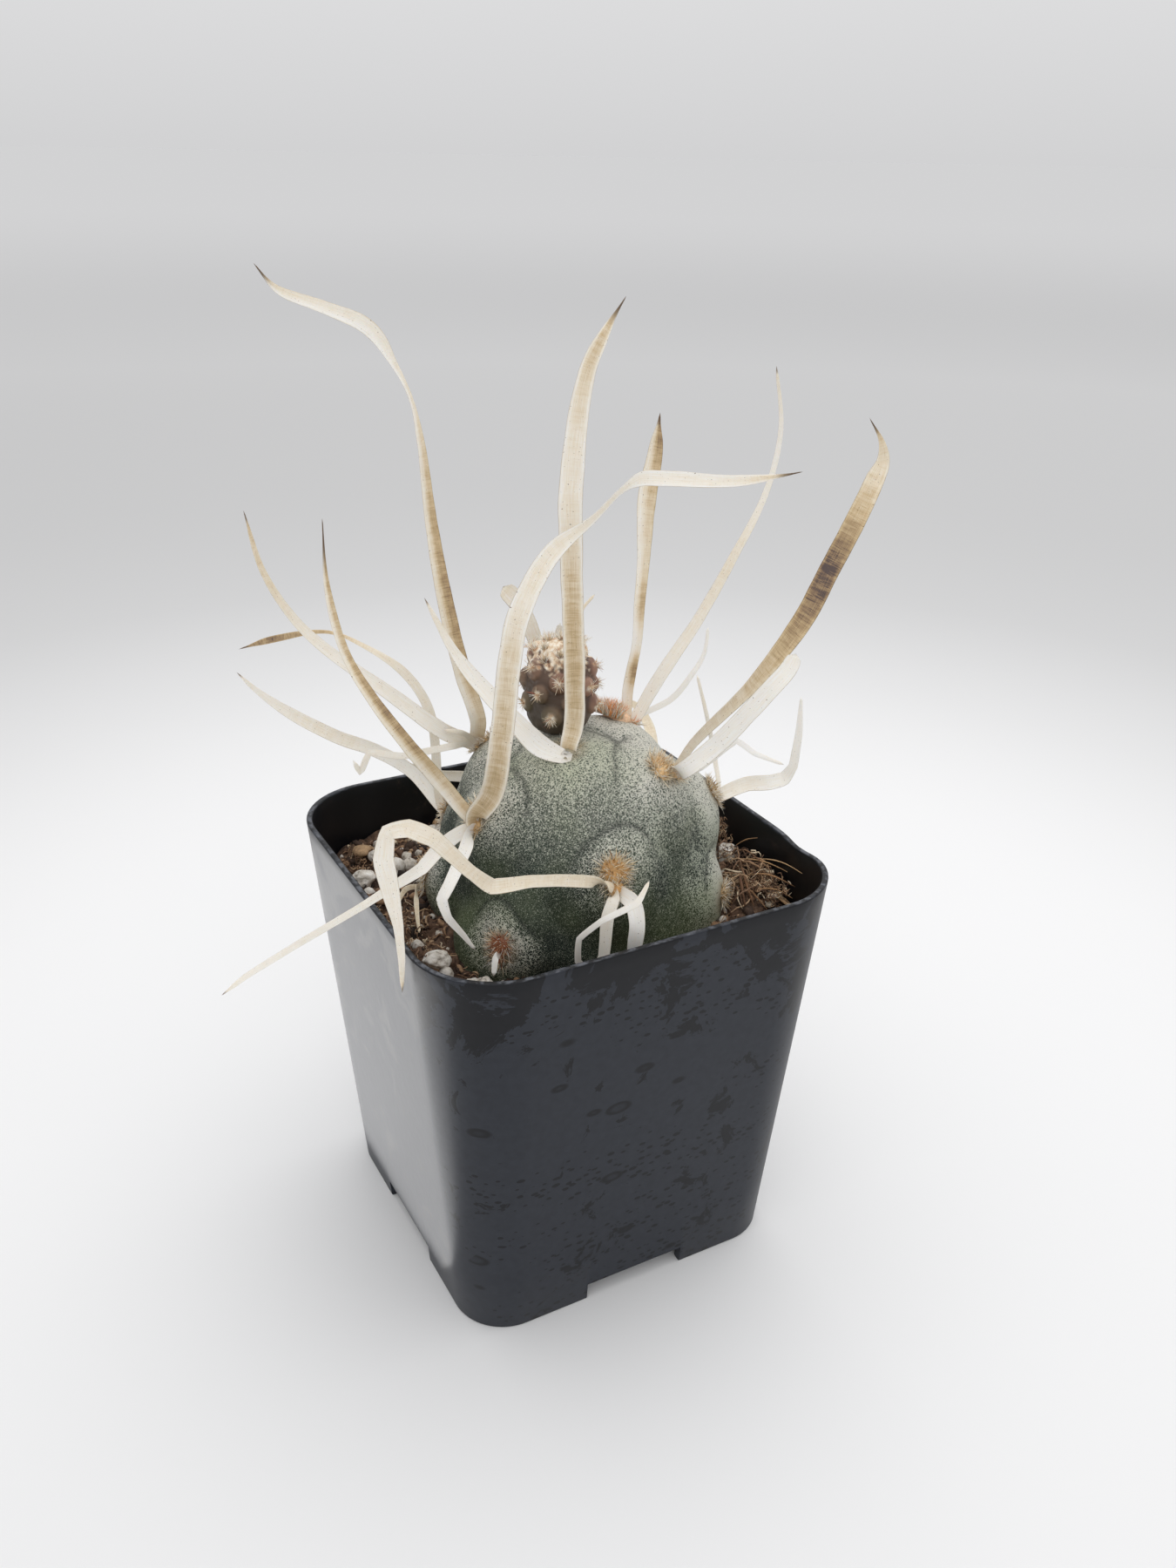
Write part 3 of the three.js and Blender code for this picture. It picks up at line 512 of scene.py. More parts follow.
# Long fibres at the right heap: start, end, how far they arch, thickness and colour.
fibres = [
    ((23.3, -12.8, 57.4), (20.9, -18, 55.2), 0.6, 0.3, "#70503a"),
    ((24.2, -12.2, 57.8), (22, -18.6, 55.2), 0.8, 0.22, "#8a6549"),
    ((22.8, -14, 56.6), (23.6, -19.6, 54.8), 0.5, 0.2, "#9b7656"),
    ((24.6, -9.4, 57.8), (28.9, -16.9, 58.2), 0.8, 0.13, "#c09a70"),
    ((27, -11, 58), (28.9, -20.2, 59.6), 0.7, 0.12, "#c9a67c"),
    ((24.4, -14, 57.4), (28.6, -19.2, 57), 1.2, 0.16, "#a37c58"),
    ((22.4, -16, 56), (27.4, -20.4, 56), 0.9, 0.14, "#b48c64"),
    ((26.4, -8, 58), (26.8, -14.6, 58.4), 1.1, 0.12, "#8a6549"),
    ((27.6, -5, 57), (28.6, -9.4, 60.4), 0.4, 0.1, "#b48c64"),
]
# Tangles of short fibres: a middle, a half size and how many.
tangles = [
    ((27.4, -0.6, 57.2), (1.3, 2.1, 2.6), 210), ((25.6, -16.4, 56.6), (2.4, 3.4, 1), 230),
    ((24.4, -7.6, 58), (1.6, 2.4, 0.7), 60), ((-24, -1, 54.2), (2.6, 8, 0.6), 150),
    ((-22, 21, 54.4), (4, 4, 0.8), 150), ((-8, 26, 54.4), (6, 1.6, 0.8), 100),
    ((20, 23, 54.4), (5, 4, 0.8), 100),
]


def on_soil(spot, lift):
    """A point that is lifted over the soil's lumps at a spot."""
    ground = soil_height(*spot) + small_lumps(*spot)
    return Vector((spot.x, spot.y, ground + lift))


def rough_crumb(seed, scale, turn, place):
    """A crumb: the seed ball roughened, stretched, turned and moved to its place."""
    points = []
    for corner in crumb_seed[0]:
        rough = 1 + 0.45 * noise.noise(corner * 1.6 + Vector((seed, 0, 0)))
        points.append(turn @ (corner * rough * scale) + place)
    return points, crumb_seed[1]


rng = random.Random(4)
crumb_seed = seed_body(2)
SOIL_BROWNS = ("#2e231c", "#453328", "#624938", "#83654e", "#a38163", "#c2a281", "#dcc9ac")
bodies = []
for i in range(CRUMB_COUNT):
    spot = soil_spot(rng)
    size = 0.22 + 0.75 * rng.random() ** 3
    flat = Vector([size * rng.uniform(*limits) for limits in ((0.8, 1.7), (0.6, 1.1), (0.4, 0.8))])
    turn = turned(Vector((rng.gauss(0, 0.5), rng.gauss(0, 0.5), 1)).normalized(), rng.random() * ANY_TURN)
    crumb = rough_crumb(i, flat, turn, on_soil(spot, size * 0.15))
    bodies.append((crumb, rng.choices(SOIL_BROWNS, (3, 5, 6, 5, 4, 2.5, 1.2))[0]))
for x, y, lift, length, width, thickness, heading, code in chips:
    turn = turned(Vector((rng.gauss(0, 0.2), rng.gauss(0, 0.2), 1)).normalized(), math.radians(heading))
    scale = Vector((length, width, thickness)) / 2 * CHIP_STRETCH
    bodies.append((rough_crumb(x, scale, turn, Vector((x, y, soil_height(x, y) + lift))), code))
crumbs = many_bodies("soil_crumbs", bodies)

# Coir strands lie across the crumbs, and long ones stick out of the heap by the right wall.
bodies = []
for i in range(STRAND_COUNT):
    spot = soil_spot(rng, 2.2)
    on_heap = i % HEAP_STRAND_EVERY == 0
    if on_heap:
        x, y = rng.gauss(25, 2.6), rng.gauss(-13, 5)
        spot = Vector((min(x, 27), max(y, -24)))
        if (spot - STEM_CENTRE.xy).length < STEM_RADIUS:
            spot.x = 25
    heading = rng.random() * ANY_TURN
    length = rng.uniform(1.5, 5) * (1.25 if on_heap else 1)
    lift = rng.uniform(0.1, 0.9) * (2.2 if on_heap else 1)
    bend = rng.gauss(0, 0.5)
    points = []
    for step in range(7):
        share = step / 6 - 0.5
        angle = heading + bend * share * 2
        flat_place = spot + Vector((math.cos(angle), math.sin(angle))) * length * share
        reach = max(abs(flat_place.x), abs(flat_place.y))
        if reach > STRAND_LIMIT:
            flat_place *= STRAND_LIMIT / reach
        rise = lift * (1 - (2 * share) ** 2) + (lift * (share + 0.5) if on_heap else 0)
        points.append(on_soil(flat_place, 0.1 + rise))
    body = strand(points, rng.uniform(0.07, 0.2))
    bodies.append((body, rng.choices(SOIL_BROWNS, (1, 2, 4, 5, 5, 5, 3))[0]))
for start, end, arch, thickness, code in fibres:
    start, end = Vector(start), Vector(end)
    sway = Vector((rng.gauss(0, 0.3), rng.gauss(0, 0.3), 1)) * arch
    points = [start.lerp(end, step / 9) + sway * math.sin(step / 9 * math.pi) for step in range(10)]
    bodies.append((strand(points, thickness), code))
for middle, half_size, count in tangles:
    for i in range(count):
        place = Vector(middle) + Vector([max(min(rng.gauss(0, 0.6), 1), -1) * half for half in half_size])
        way = Vector((rng.gauss(0, 1), rng.gauss(0, 1), rng.gauss(0, 0.6))).normalized()
        bow = way.orthogonal() * rng.uniform(-0.6, 0.6)
        reach = rng.uniform(0.5, 1.1)
        points = []
        for share in (0, 0.25, 0.5, 0.75, 1):
            points.append(place + way * reach * (share - 0.5) + bow * math.sin(share * math.pi))
        body = strand(points, rng.uniform(0.06, 0.13))
        bodies.append((body, rng.choices(SOIL_BROWNS, (0, 1, 3, 5, 5, 5, 3))[0]))
strands = many_bodies("soil_strands", bodies)

# Dry coir: each strand and crumb has its own brown, mottled along its length.
litter, shader, add = new_material("dry coir and bark crumbs")
where = add("TexCoord").outputs["Object"]
tint = add("Attribute", attribute_name="tint")
mottle = add("TexNoise", {"Vector": where, "Scale": 1500, "Detail": 5, "Roughness": 0.65})
level = add("MapRange", [mottle, 0.3, 0.7, 0.6, 1.3])
colour = add("Mix", [1.0, tint, level], data_type="RGBA", blend_type="MULTIPLY")
bump = add("Bump", {"Height": mottle, "Strength": 0.7, "Distance": 0.0003})
wire(shader, {"Base Color": colour, "Roughness": 0.85, "Normal": bump})
for piece in (crumbs, strands):
    place_on_root(piece, litter, "potting_mix")

# Perlite
# Real perlite is white puffed volcanic glass in rough chalky grains. The large grains stand where
# the frame's do, and small crumbs of the same lie scattered between them and in a few groups.
PERLITE_CRUMBS = 130
PERLITE_PLACES = [
    (-18.6, 17.6, 1.6), (-20.6, 16.2, 1.2), (-16, 18.9, 1.4), (-25, 12.2, 1.2), (-15.6, 21, 0.9),
    (-24.2, -5, 1.0), (-20, -13.4, 1.1), (-18.4, -18.6, 1.2), (-22.6, -11, 1.2), (-15.4, -19.4, 0.9),
    (-20.6, -17, 1.1), (26.4, -17.8, 0.6)]


def rough_grain(corner, seed):
    """A point of a ball, roughened into a pitted grain."""
    spot = corner * 1.3 + Vector((seed * 7.1, 0, 0))
    pits = noise.noise(corner * 4.5 + Vector((0, seed * 3.3, 0)))
    return corner * (0.9 + 0.28 * noise.noise(spot) - 0.12 * max(pits, 0))


# Chalky white, a little warm, with grey painted in its pits as painted shade.
chalk, shader, add = new_material("chalky puffed perlite")
where = add("TexCoord").outputs["Object"]
pits = add("TexNoise", {"Vector": where, "Scale": 900, "Detail": 6, "Roughness": 0.6})
# Grey is painted where the bump is low: painted shade in the pits.
colour = add("ValToRGB", [pits], stops=[
    (0.33, "#8d8377"), (0.45, "#cfc7bb"), (0.6, "#e6e1d9"), (0.75, "#f3f1ec")])
bump = add("Bump", {"Height": pits, "Strength": 0.6, "Distance": 0.0004})
wire(shader, {"Base Color": colour, "Roughness": 0.95, "Normal": bump})
perlite_names = sorted(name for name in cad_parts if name.startswith("perlite"))
for seed, name in enumerate(perlite_names):
    low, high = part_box(name)
    grain = ball(name + "_grain", 5)
    for vertex in grain.data.vertices:
        vertex.co = (low + high) / 2 + rough_grain(vertex.co, seed) * (high - low) / 2
    smooth(grain)
    place_on_root(grain, chalk, "perlite", name)
bodies = []
crumb_places = [(*soil_spot(rng), 0.25 + 0.5 * rng.random() ** 2) for _ in range(PERLITE_CRUMBS)]
for i, (x, y, size) in enumerate(crumb_places + PERLITE_PLACES):
    middle = on_soil(Vector((x, y)), size * 0.35)
    points = [rough_grain(corner, i) * size + middle for corner in crumb_seed[0]]
    bodies.append(((points, crumb_seed[1]), "#e6e1d9"))
specks = many_bodies("perlite_crumbs", bodies)
place_on_root(specks, chalk, "perlite")

# Stem joint
# The real joint is one round, hard-skinned swelling of watery flesh, sunk in the soil to its
# middle. Its skin stands in low tubercles, each with an areole, parted by dark creases.
STEM_RISE = 28
STEM_DROP = 24
STEM_FULLNESS = 2.4
TUBERCLE_REACH = 0.46
BLEND_SHARPNESS = 4
NORMAL_STEP = 0.05
CREASE_REACH = 0.27
CREASE_WIDTH = 0.013
CREASE_DEPTH = 0.16
CREASE_LIMIT = 0.8
LOW_FROST = 0.9

# Each areole: the heading and elevation of its tubercle's tip from the stem's middle, the radius
# of its spines' root, the radius and needle length of its glochid tuft, the turn from uphill to
# the side where the tuft stands, the tubercle's swell, and the browns of its tuft.
GOLD = ("#ecd3a4", "#c69a62", "#f8eccf", "#86602f")
RUST = ("#c98f68", "#a0684a", "#ecc8a6", "#80523f")
ORANGE = ("#f0a468", "#ecc6a2", "#f4b680", "#dd8648")
CREAM = ("#e8d4b2", "#c2a173", "#f5ead4", "#94703f")
areoles = {
    "crown_front": (226, 78, 1.5, 1.0, 1.2, 0, 2.4, ("#8f8874", "#a39b85", "#7a7462", "#c4bba4")),
    "crown_right": (308, 64, 1.6, 1.7, 2.2, 45, 2.4, ("#f6e2bc", "#e6c290", "#fcf2dc", "#c49c68")),
    "crown_back": (24, 71, 1.5, 1.9, 3.2, -15, 2.4, ORANGE),
    "crown_left": (130, 60, 1.5, 1.2, 1.3, 0, 3.2, CREAM),
    "shoulder_left": (187, 51, 1.6, 1.3, 1.6, 30, 2.4, CREAM),
    "shoulder_front": (256, 41, 1.3, 1.8, 1.8, 0, 2.4, GOLD),
    "shoulder_right": (338, 45, 1.3, 1.6, 1.8, 30, 3.6, CREAM),
    "shoulder_back": (72, 52, 1.4, 1.4, 1.6, 0, 2.4, GOLD),
    "side_left": (138, 36, 1.4, 1.3, 1.5, -25, 2.4, CREAM),
    "low_left": (157, 18, 1.0, 1.5, 2.0, 0, 3.2, CREAM),
    "low_front": (213, 14.5, 0.9, 1.6, 1.7, 0, 2.4, RUST),
    "low_right": (315, 19, 0, 1.4, 1.8, 0, 2.4, CREAM),
    "low_back": (98, 22, 1.2, 1.4, 1.6, 0, 2.4, GOLD),
    "low_back_right": (30, 28, 1.2, 1.4, 1.6, 0, 2.4, RUST),
}


def aim(heading, elevation):
    """A unit vector from its heading and elevation in degrees."""
    turn, lift = math.radians(heading), math.radians(elevation)
    return Vector((math.cos(lift) * math.cos(turn), math.cos(lift) * math.sin(turn), math.sin(lift)))


def egg_reach(direction, radius, rise, drop, fullness):
    """How far an egg reaches from its middle along a direction."""
    across = math.hypot(direction.x, direction.y) / radius
    along = abs(direction.z) / (rise if direction.z > 0 else drop)
    return (across ** fullness + along ** fullness) ** (-1 / fullness)


def tubercle_swell(direction, tubercles, reach):
    """How far the tubercles that cover a direction stand out there, blended where they meet."""
    total = 0
    for tip, swell in tubercles:
        part = min(direction.angle(tip) / reach, 1)
        total += (swell * (1 - part * part) ** 2) ** BLEND_SHARPNESS
    return total ** (1 / BLEND_SHARPNESS)


stem_tubercles = [(aim(areole[0], areole[1]), areole[6]) for areole in areoles.values()]
# A bulge without an areole, low at the front left, where the soil dips.
low_flank = (aim(201, 4), 3.4)


def stem_point(direction):
    """The stem's surface along a direction from its middle, before its small lumps."""
    reach = egg_reach(direction, STEM_RADIUS, STEM_RISE, STEM_DROP, STEM_FULLNESS)
    reach += tubercle_swell(direction, stem_tubercles + [low_flank], TUBERCLE_REACH)
    return STEM_CENTRE + direction * reach


def stem_normal(direction):
    """The way out of the stem's surface along a direction."""
    side = Vector((0, 0, 1)).cross(direction).normalized() * NORMAL_STEP
    up = direction.cross(side)
    across = stem_point((direction + side).normalized()) - stem_point((direction - side).normalized())
    along = stem_point((direction + up).normalized()) - stem_point((direction - up).normalized())
    return across.cross(along).normalized()


def crease_and_mound(direction):
    """How deep in a crease a direction is, and how frosted its tubercle is there.

    Both run from 0 to 1, and the low tubercles are frosted up to 1 + LOW_FROST.
    """
    crease, mound = 0, 0
    for index, (tip, _) in enumerate(stem_tubercles):
        angle = direction.angle(tip)
        if angle > CREASE_LIMIT:
            continue
        uphill = (Vector((0, 0, 1)) - tip * tip.z).normalized()
        side = tip.cross(uphill)
        out = (direction - tip * direction.dot(tip)).normalized()
        climb = out.dot(uphill)
        wobble = 0.09 * noise.noise(direction * 3 + Vector((index, 0, 0)))
        edge = CREASE_REACH * (1 + 0.08 * out.dot(side) * (-1) ** index) + wobble
        line = math.exp(-((angle - edge) / CREASE_WIDTH) ** 2) * ease(0.2, 0.8, climb)
        others = [direction.angle(other) for other, _ in stem_tubercles if other is not tip]
        covered = 1 - min(min(others) / edge, 1)
        crease = max(crease, line * (1 - ease(0.05, 0.35, covered)))
        frost = 1 + LOW_FROST * ease(0.45, 0.3, tip.z)
        top = 0.55 + 0.45 * ease(-0.6, 0.6, climb)
        mound = max(mound, (1 - ease(0.5 * edge, edge * 1.15, angle)) * top * frost)
        step = ease(edge - 0.01, edge + 0.03, angle) * ease(edge + 0.22, edge + 0.03, angle)
        mound = max(mound - 0.12 * step * ease(0, 0.5, climb), 0)
    return crease, mound


stem = ball("stem_joint", 7)
creases, mounds, scurf = [], [], []
seats = {}
for vertex in stem.data.vertices:
    direction = vertex.co.normalized()
    crease, mound = crease_and_mound(direction)
    lumps = 0.25 * noise.noise(direction * 4) + 0.05 * noise.noise(direction * 30)
    point = stem_point(direction) + direction * (lumps - CREASE_DEPTH * crease)
    creases.append(crease)
    mounds.append(mound)
    vertex.co = point * MM
for name, (heading, elevation, root, tuft, _, turn, *_) in areoles.items():
    tip = aim(heading, elevation)
    normal = stem_normal(tip)
    to_tuft = Vector((0, 0, 1)) - normal * normal.z
    to_tuft = Matrix.Rotation(math.radians(turn), 3, normal) @ to_tuft.normalized()
    spacing = root + tuft + TOUCH_GAP
    shifts = (-spacing * 0.45, spacing * 0.55 if root else 0)
    starts = [stem_point(tip) + to_tuft * shift - STEM_CENTRE for shift in shifts]
    root_place, tuft_place = [stem_point(start.normalized()) for start in starts]
    seats[name] = (root_place, tuft_place, normal, to_tuft)
middles = [(root_place + tuft_place) / 2 for root_place, tuft_place, *_ in seats.values()]
for vertex in stem.data.vertices:
    near = min((vertex.co / MM - middle).length for middle in middles)
    scurf.append(1 - ease(1.6, 3.4, near))
for name, values in (("crease", creases), ("mound", mounds), ("scurf", scurf)):
    set_attribute(stem, name, values)
smooth(stem)

# Cactus skin: dark green under tiny white waxy papillae, which crowd together on the tubercles,
# most on the low ones, and towards the top. The green and the wax are also painted paler towards
# the top, and more papillae are painted towards the right side: painted light from the lamps above
# and to the right. The creases are painted dark, painted shade. In places the green is yellower.
# The papillae are drawn a little coarser than the real ones, which are too fine to show.
PAPILLA_PITCH = 0.31
skin, shader, add = new_material("waxy cactus skin with white papillae")
where = add("TexCoord").outputs["Object"]
crease, mound, scurf = [
    add("Attribute", attribute_name=name).outputs["Fac"] for name in ("crease", "mound", "scurf")]
parts = add("SeparateXYZ", [where])
# The green and the wax are painted paler towards the top: painted light from the lamps above.
lit_top = add("MapRange", [parts.outputs[2], 0.066, 0.081])
patches = add("TexNoise", {"Vector": where, "Scale": 110, "Detail": 4, "Roughness": 0.6})
yellowing = add("TexNoise", {"Vector": where, "Scale": 60, "Detail": 2})
green = add("ValToRGB", [patches], stops=[(0.3, "#161f19"), (0.5, "#1e2922"), (0.68, "#2b382d")])
yellow_part = add("MapRange", [yellowing, 0.48, 0.68, 0.0, 0.6])
yellower = add("Mix", [yellow_part, green, "#5a6642"], data_type="RGBA")
paler = add("Mix", [lit_top, yellower, "#60665b"], data_type="RGBA")
net = add("TexNoise", {
    "Vector": where, "Scale": 1.15 / (PAPILLA_PITCH * MM), "Detail": 1, "Roughness": 0.4,
    "Distortion": 0.6})
off_line = add("Math", [net, 0.5], operation="SUBTRACT")
from_line = add("Math", [off_line], operation="ABSOLUTE")
# More papillae are painted in streaks towards the right side: painted light on the side the lamps light.
lit_right = add("MapRange", [parts.outputs[0], 0.0, 0.022, 0.0, 0.08])
streaks_at = add("Mapping", {"Vector": where, "Scale": (200, 200, 45)})
streaks = add("TexNoise", {"Vector": streaks_at, "Scale": 1.0, "Detail": 3})
streak = add("MapRange", [streaks, 0.42, 0.64, 0.45, 1.7])
lit_right_papillae = add("Math", [lit_right, streak], operation="MULTIPLY")
crownward = add("MapRange", [parts.outputs[2], 0.066, 0.083, 0.002, 0.083])
cover = add("Math", [mound, 0.04, lit_right_papillae], operation="MULTIPLY_ADD")
cover_top = add("Math", [crownward, cover])
cover_patch = add("Math", [patches, 0.03, cover_top], operation="MULTIPLY_ADD")
lifted = add("Math", [cover_patch, from_line], operation="SUBTRACT")
papillae = add("MapRange", [lifted, -0.006, 0.014])
mound_and_lit_top = add("Math", [mound, 0.5, lit_top], operation="MULTIPLY_ADD", use_clamp=True)
wax_on_mounds_and_lit_top = add("Mix", [mound_and_lit_top, "#abb09f", "#cccabf"], data_type="RGBA")
wax = add("Mix", [yellow_part, wax_on_mounds_and_lit_top, "#a9b08e"], data_type="RGBA")
frosted = add("Mix", [papillae, paler, wax], data_type="RGBA")
# The creases are painted nearly black green: painted shade in the grooves between the tubercles.
crease_shade = add("Math", [crease, 0.65], operation="MULTIPLY")
creased = add("Mix", [crease_shade, frosted, "#161d19"], data_type="RGBA")
corky = add("Math", [scurf, patches], operation="MULTIPLY")
cork = add("Mix", [corky, creased, "#8f7c62"], data_type="RGBA")
bump = add("Bump", {"Height": papillae, "Strength": 0.35, "Distance": 0.0001})
wire(shader, {"Base Color": cork, "Roughness": 0.6, "Specular IOR Level": 0.35, "Normal": bump})
place_on_root(stem, skin, "stem_skin", "stem")

# Young joint
# The real one is a new joint that grows on the old one's top: an egg of close brown-purple
# tubercles in spirals, each with a small cream tuft, and a dense cream crown of new glochids.
YOUNG_CENTRE = Vector((0.3, 0.9, 86))
YOUNG_RADIUS = 5
YOUNG_HALF_HEIGHT = 6.9
YOUNG_FULLNESS = 2.2
YOUNG_FULLNESS_BELOW = 3.2
YOUNG_TUBERCLES = 22
YOUNG_SWELL = 0.7
YOUNG_REACH = 0.34
GOLDEN_ANGLE = math.pi * (3 - math.sqrt(5))
YOUNG_NEEDLE = 1.1
YOUNG_TUFT_NEEDLES = 24
YOUNG_TUFT_LEAN = 1.2
YOUNG_CROWN_NEEDLE = 1.9
YOUNG_CROWN_TUFTS = 13
YOUNG_CROWN_NEEDLES = 30
YOUNG_CROWN_LEAN = 0.75
NEEDLE_RADIUS = 0.055

young_tubercles = []
for i in range(YOUNG_TUBERCLES):
    rise = 0.9 - 1.5 * (i + 0.5) / YOUNG_TUBERCLES
    tip = aim(math.degrees(i * GOLDEN_ANGLE), math.degrees(math.asin(rise)))
    young_tubercles.append((tip, YOUNG_SWELL))


def young_point(direction, gap=0):
    """The young joint's surface along a direction from its middle, or a gap above it."""
    fullness = YOUNG_FULLNESS if direction.z > 0 else YOUNG_FULLNESS_BELOW
    reach = egg_reach(direction, YOUNG_RADIUS, YOUNG_HALF_HEIGHT, YOUNG_HALF_HEIGHT, fullness)
    swell = tubercle_swell(direction, young_tubercles, YOUNG_REACH)
    return YOUNG_CENTRE + direction * (reach + swell + gap)


young = ball("young_joint_body", 6)
valleys = []
for vertex in young.data.vertices:
    direction = vertex.co.normalized()
    swell = tubercle_swell(direction, young_tubercles, YOUNG_REACH) / YOUNG_SWELL
    valley = 1 - ease(0.02, 0.3, swell)
    valleys.append(valley)
    lumps = 0.12 * noise.noise(direction * 9) - 0.25 * valley
    vertex.co = (young_point(direction) + direction * lumps) * MM
wool = []
for vertex in young.data.vertices:
    direction = (vertex.co / MM - YOUNG_CENTRE).normalized()
    nearest = min(direction.angle(tip) for tip, _ in young_tubercles)
    at_tip = 1 - ease(0.04, 0.16, nearest + 0.05 * noise.noise(direction * 9))
    at_crown = ease(0.6, 0.85, direction.z + 0.35 * noise.noise(direction * 11))
    wool.append(max(at_tip * 0.9, at_crown))
for name, values in (("valley", valleys), ("wool", wool)):
    set_attribute(young, name, values)
smooth(young)

# Young skin: soft brown-purple, green low on its shaded side, with a slight gloss.
bloom, shader, add = new_material("young purple cactus skin")
where = add("TexCoord").outputs["Object"]
valley = add("Attribute", attribute_name="valley").outputs["Fac"]
patches = add("TexNoise", {"Vector": where, "Scale": 260, "Detail": 5})
purple = add("ValToRGB", [patches], stops=[(0.3, "#63443a"), (0.5, "#886553"), (0.7, "#a88570")])
parts = add("SeparateXYZ", [where])
low_left = add("Math", [parts.outputs[0], 0.8, parts.outputs[2]], operation="MULTIPLY_ADD")
greenish = add("MapRange", [low_left, 0.080, 0.088, 0.75, 0.0])
colour = add("Mix", [greenish, purple, "#4c5038"], data_type="RGBA")
# The valleys between the tubercles are painted darker brown: painted shade.
valley_part = add("Math", [valley, 0.7], operation="MULTIPLY")
shaded = add("Mix", [valley_part, colour, "#33261f"], data_type="RGBA")
wool = add("Attribute", attribute_name="wool").outputs["Fac"]
tufts = add("TexNoise", {"Vector": where, "Scale": 1400, "Detail": 3})
felt = add("ValToRGB", [tufts], stops=[(0.35, "#c39a78"), (0.5, "#ecd9bd"), (0.65, "#fbf4e6")])
felted = add("Mix", [wool, shaded, felt], data_type="RGBA")
bump = add("Bump", {"Height": patches, "Strength": 0.2, "Distance": 0.0003})
wire(shader, {"Base Color": felted, "Roughness": 0.5, "Normal": bump})
place_on_root(young, bloom, "young_skin", "young_joint")


def needle(base, direction, length, radius, curl):
    """A thin pointed bristle that bends a little, as a body of three rings and a tip."""
    side = Matrix.Rotation(curl * 40, 3, direction) @ direction.orthogonal().normalized()
    points = []
    for share in (0, 0.45, 0.8):
        middle = base + direction * length * share + side * length * curl * share * share
        points += ring(middle, turned(direction), radius * (1 - 0.75 * share), 3)
    points.append(base + direction * length + side * length * curl)
    return points, [[2, 1, 0], *tube_faces(3, 3), [6, 7, 9], [7, 8, 9], [8, 6, 9]]


def spread(normal, count, widest, rng):
    """Directions spread about a normal by the golden angle, out to a widest lean."""
    side = normal.orthogonal().normalized()
    directions = []
    for i in range(count):
        lean = widest * math.sqrt((i + 0.3) / count)
        axis = Matrix.Rotation(i * GOLDEN_ANGLE + rng.random() * 0.5, 3, normal) @ side
        directions.append(Matrix.Rotation(lean, 3, axis) @ normal)
    return directions


rng = random.Random(11)
YOUNG_CREAMS = ("#fbf3e2", "#f6e6cb", "#ecd4b0", "#d6a985", "#a9654f", "#fdfaf2")
bodies = []
for tip, _ in young_tubercles:
    for direction in spread(tip, YOUNG_TUFT_NEEDLES, YOUNG_TUFT_LEAN, rng):
        length = YOUNG_NEEDLE * rng.uniform(0.5, 1.4)
        base = young_point(tip, -0.15) + (direction - tip * direction.dot(tip)) * 0.35
        body = needle(base, direction, length, NEEDLE_RADIUS, rng.uniform(-0.3, 0.3))
        bodies.append((body, rng.choices(YOUNG_CREAMS, (5, 5, 3, 2, 1.5, 4))[0]))
for i in range(YOUNG_CROWN_TUFTS):
    tip = aim(math.degrees(i * GOLDEN_ANGLE), 88 - 7.5 * math.sqrt(i * 2))
    for direction in spread(tip, YOUNG_CROWN_NEEDLES, YOUNG_CROWN_LEAN, rng):
        length = YOUNG_CROWN_NEEDLE * rng.uniform(0.4, 1)
        base = young_point(tip, -0.3) + (direction - tip * direction.dot(tip)) * 0.5
        way = (direction + Vector((0, 0, 0.4))).normalized()
        body = needle(base, way, length, NEEDLE_RADIUS * 1.15, rng.uniform(-0.3, 0.3))
        bodies.append((body, rng.choices(YOUNG_CREAMS, (7, 6, 3, 0.8, 0.5, 8))[0]))
young_bristles = many_bodies("young_joint_bristles", bodies)

# Glochids: fine dry bristles, each with its own brown, that catch the light.
bristle, shader, add = new_material("dry glochid bristle")
tint = add("Attribute", attribute_name="tint")
where = add("TexCoord").outputs["Object"]
along = add("TexNoise", {"Vector": where, "Scale": 2200, "Detail": 2})
level = add("MapRange", [along, 0.3, 0.7, 0.8, 1.2])
colour = add("Mix", [1.0, tint, level], data_type="RGBA", blend_type="MULTIPLY")
wire(shader, {"Base Color": colour, "Roughness": 0.5})
place_on_root(young_bristles, bristle, "glochid_bristle")

# Papery spines
# The real ones are flat dry ribbons of dead tissue, 1 to 3 mm wide and a quarter of a millimetre
# thick, that grow from the lower part of each areole, twist, and end in a fine brown point.
SPINE_STEP = 0.6
SECTION_POINTS = 14
SPINE_THICKNESS = 0.28
SPINE_CUP = 0.07
KINK = 0.7
PLUG_DEPTH = 1.1
PLUG_LIFT = 0.8
SEED_SHIFT = 37
RIBBONS_FACE = Vector((-0.45, -0.8, 0.4)).normalized()

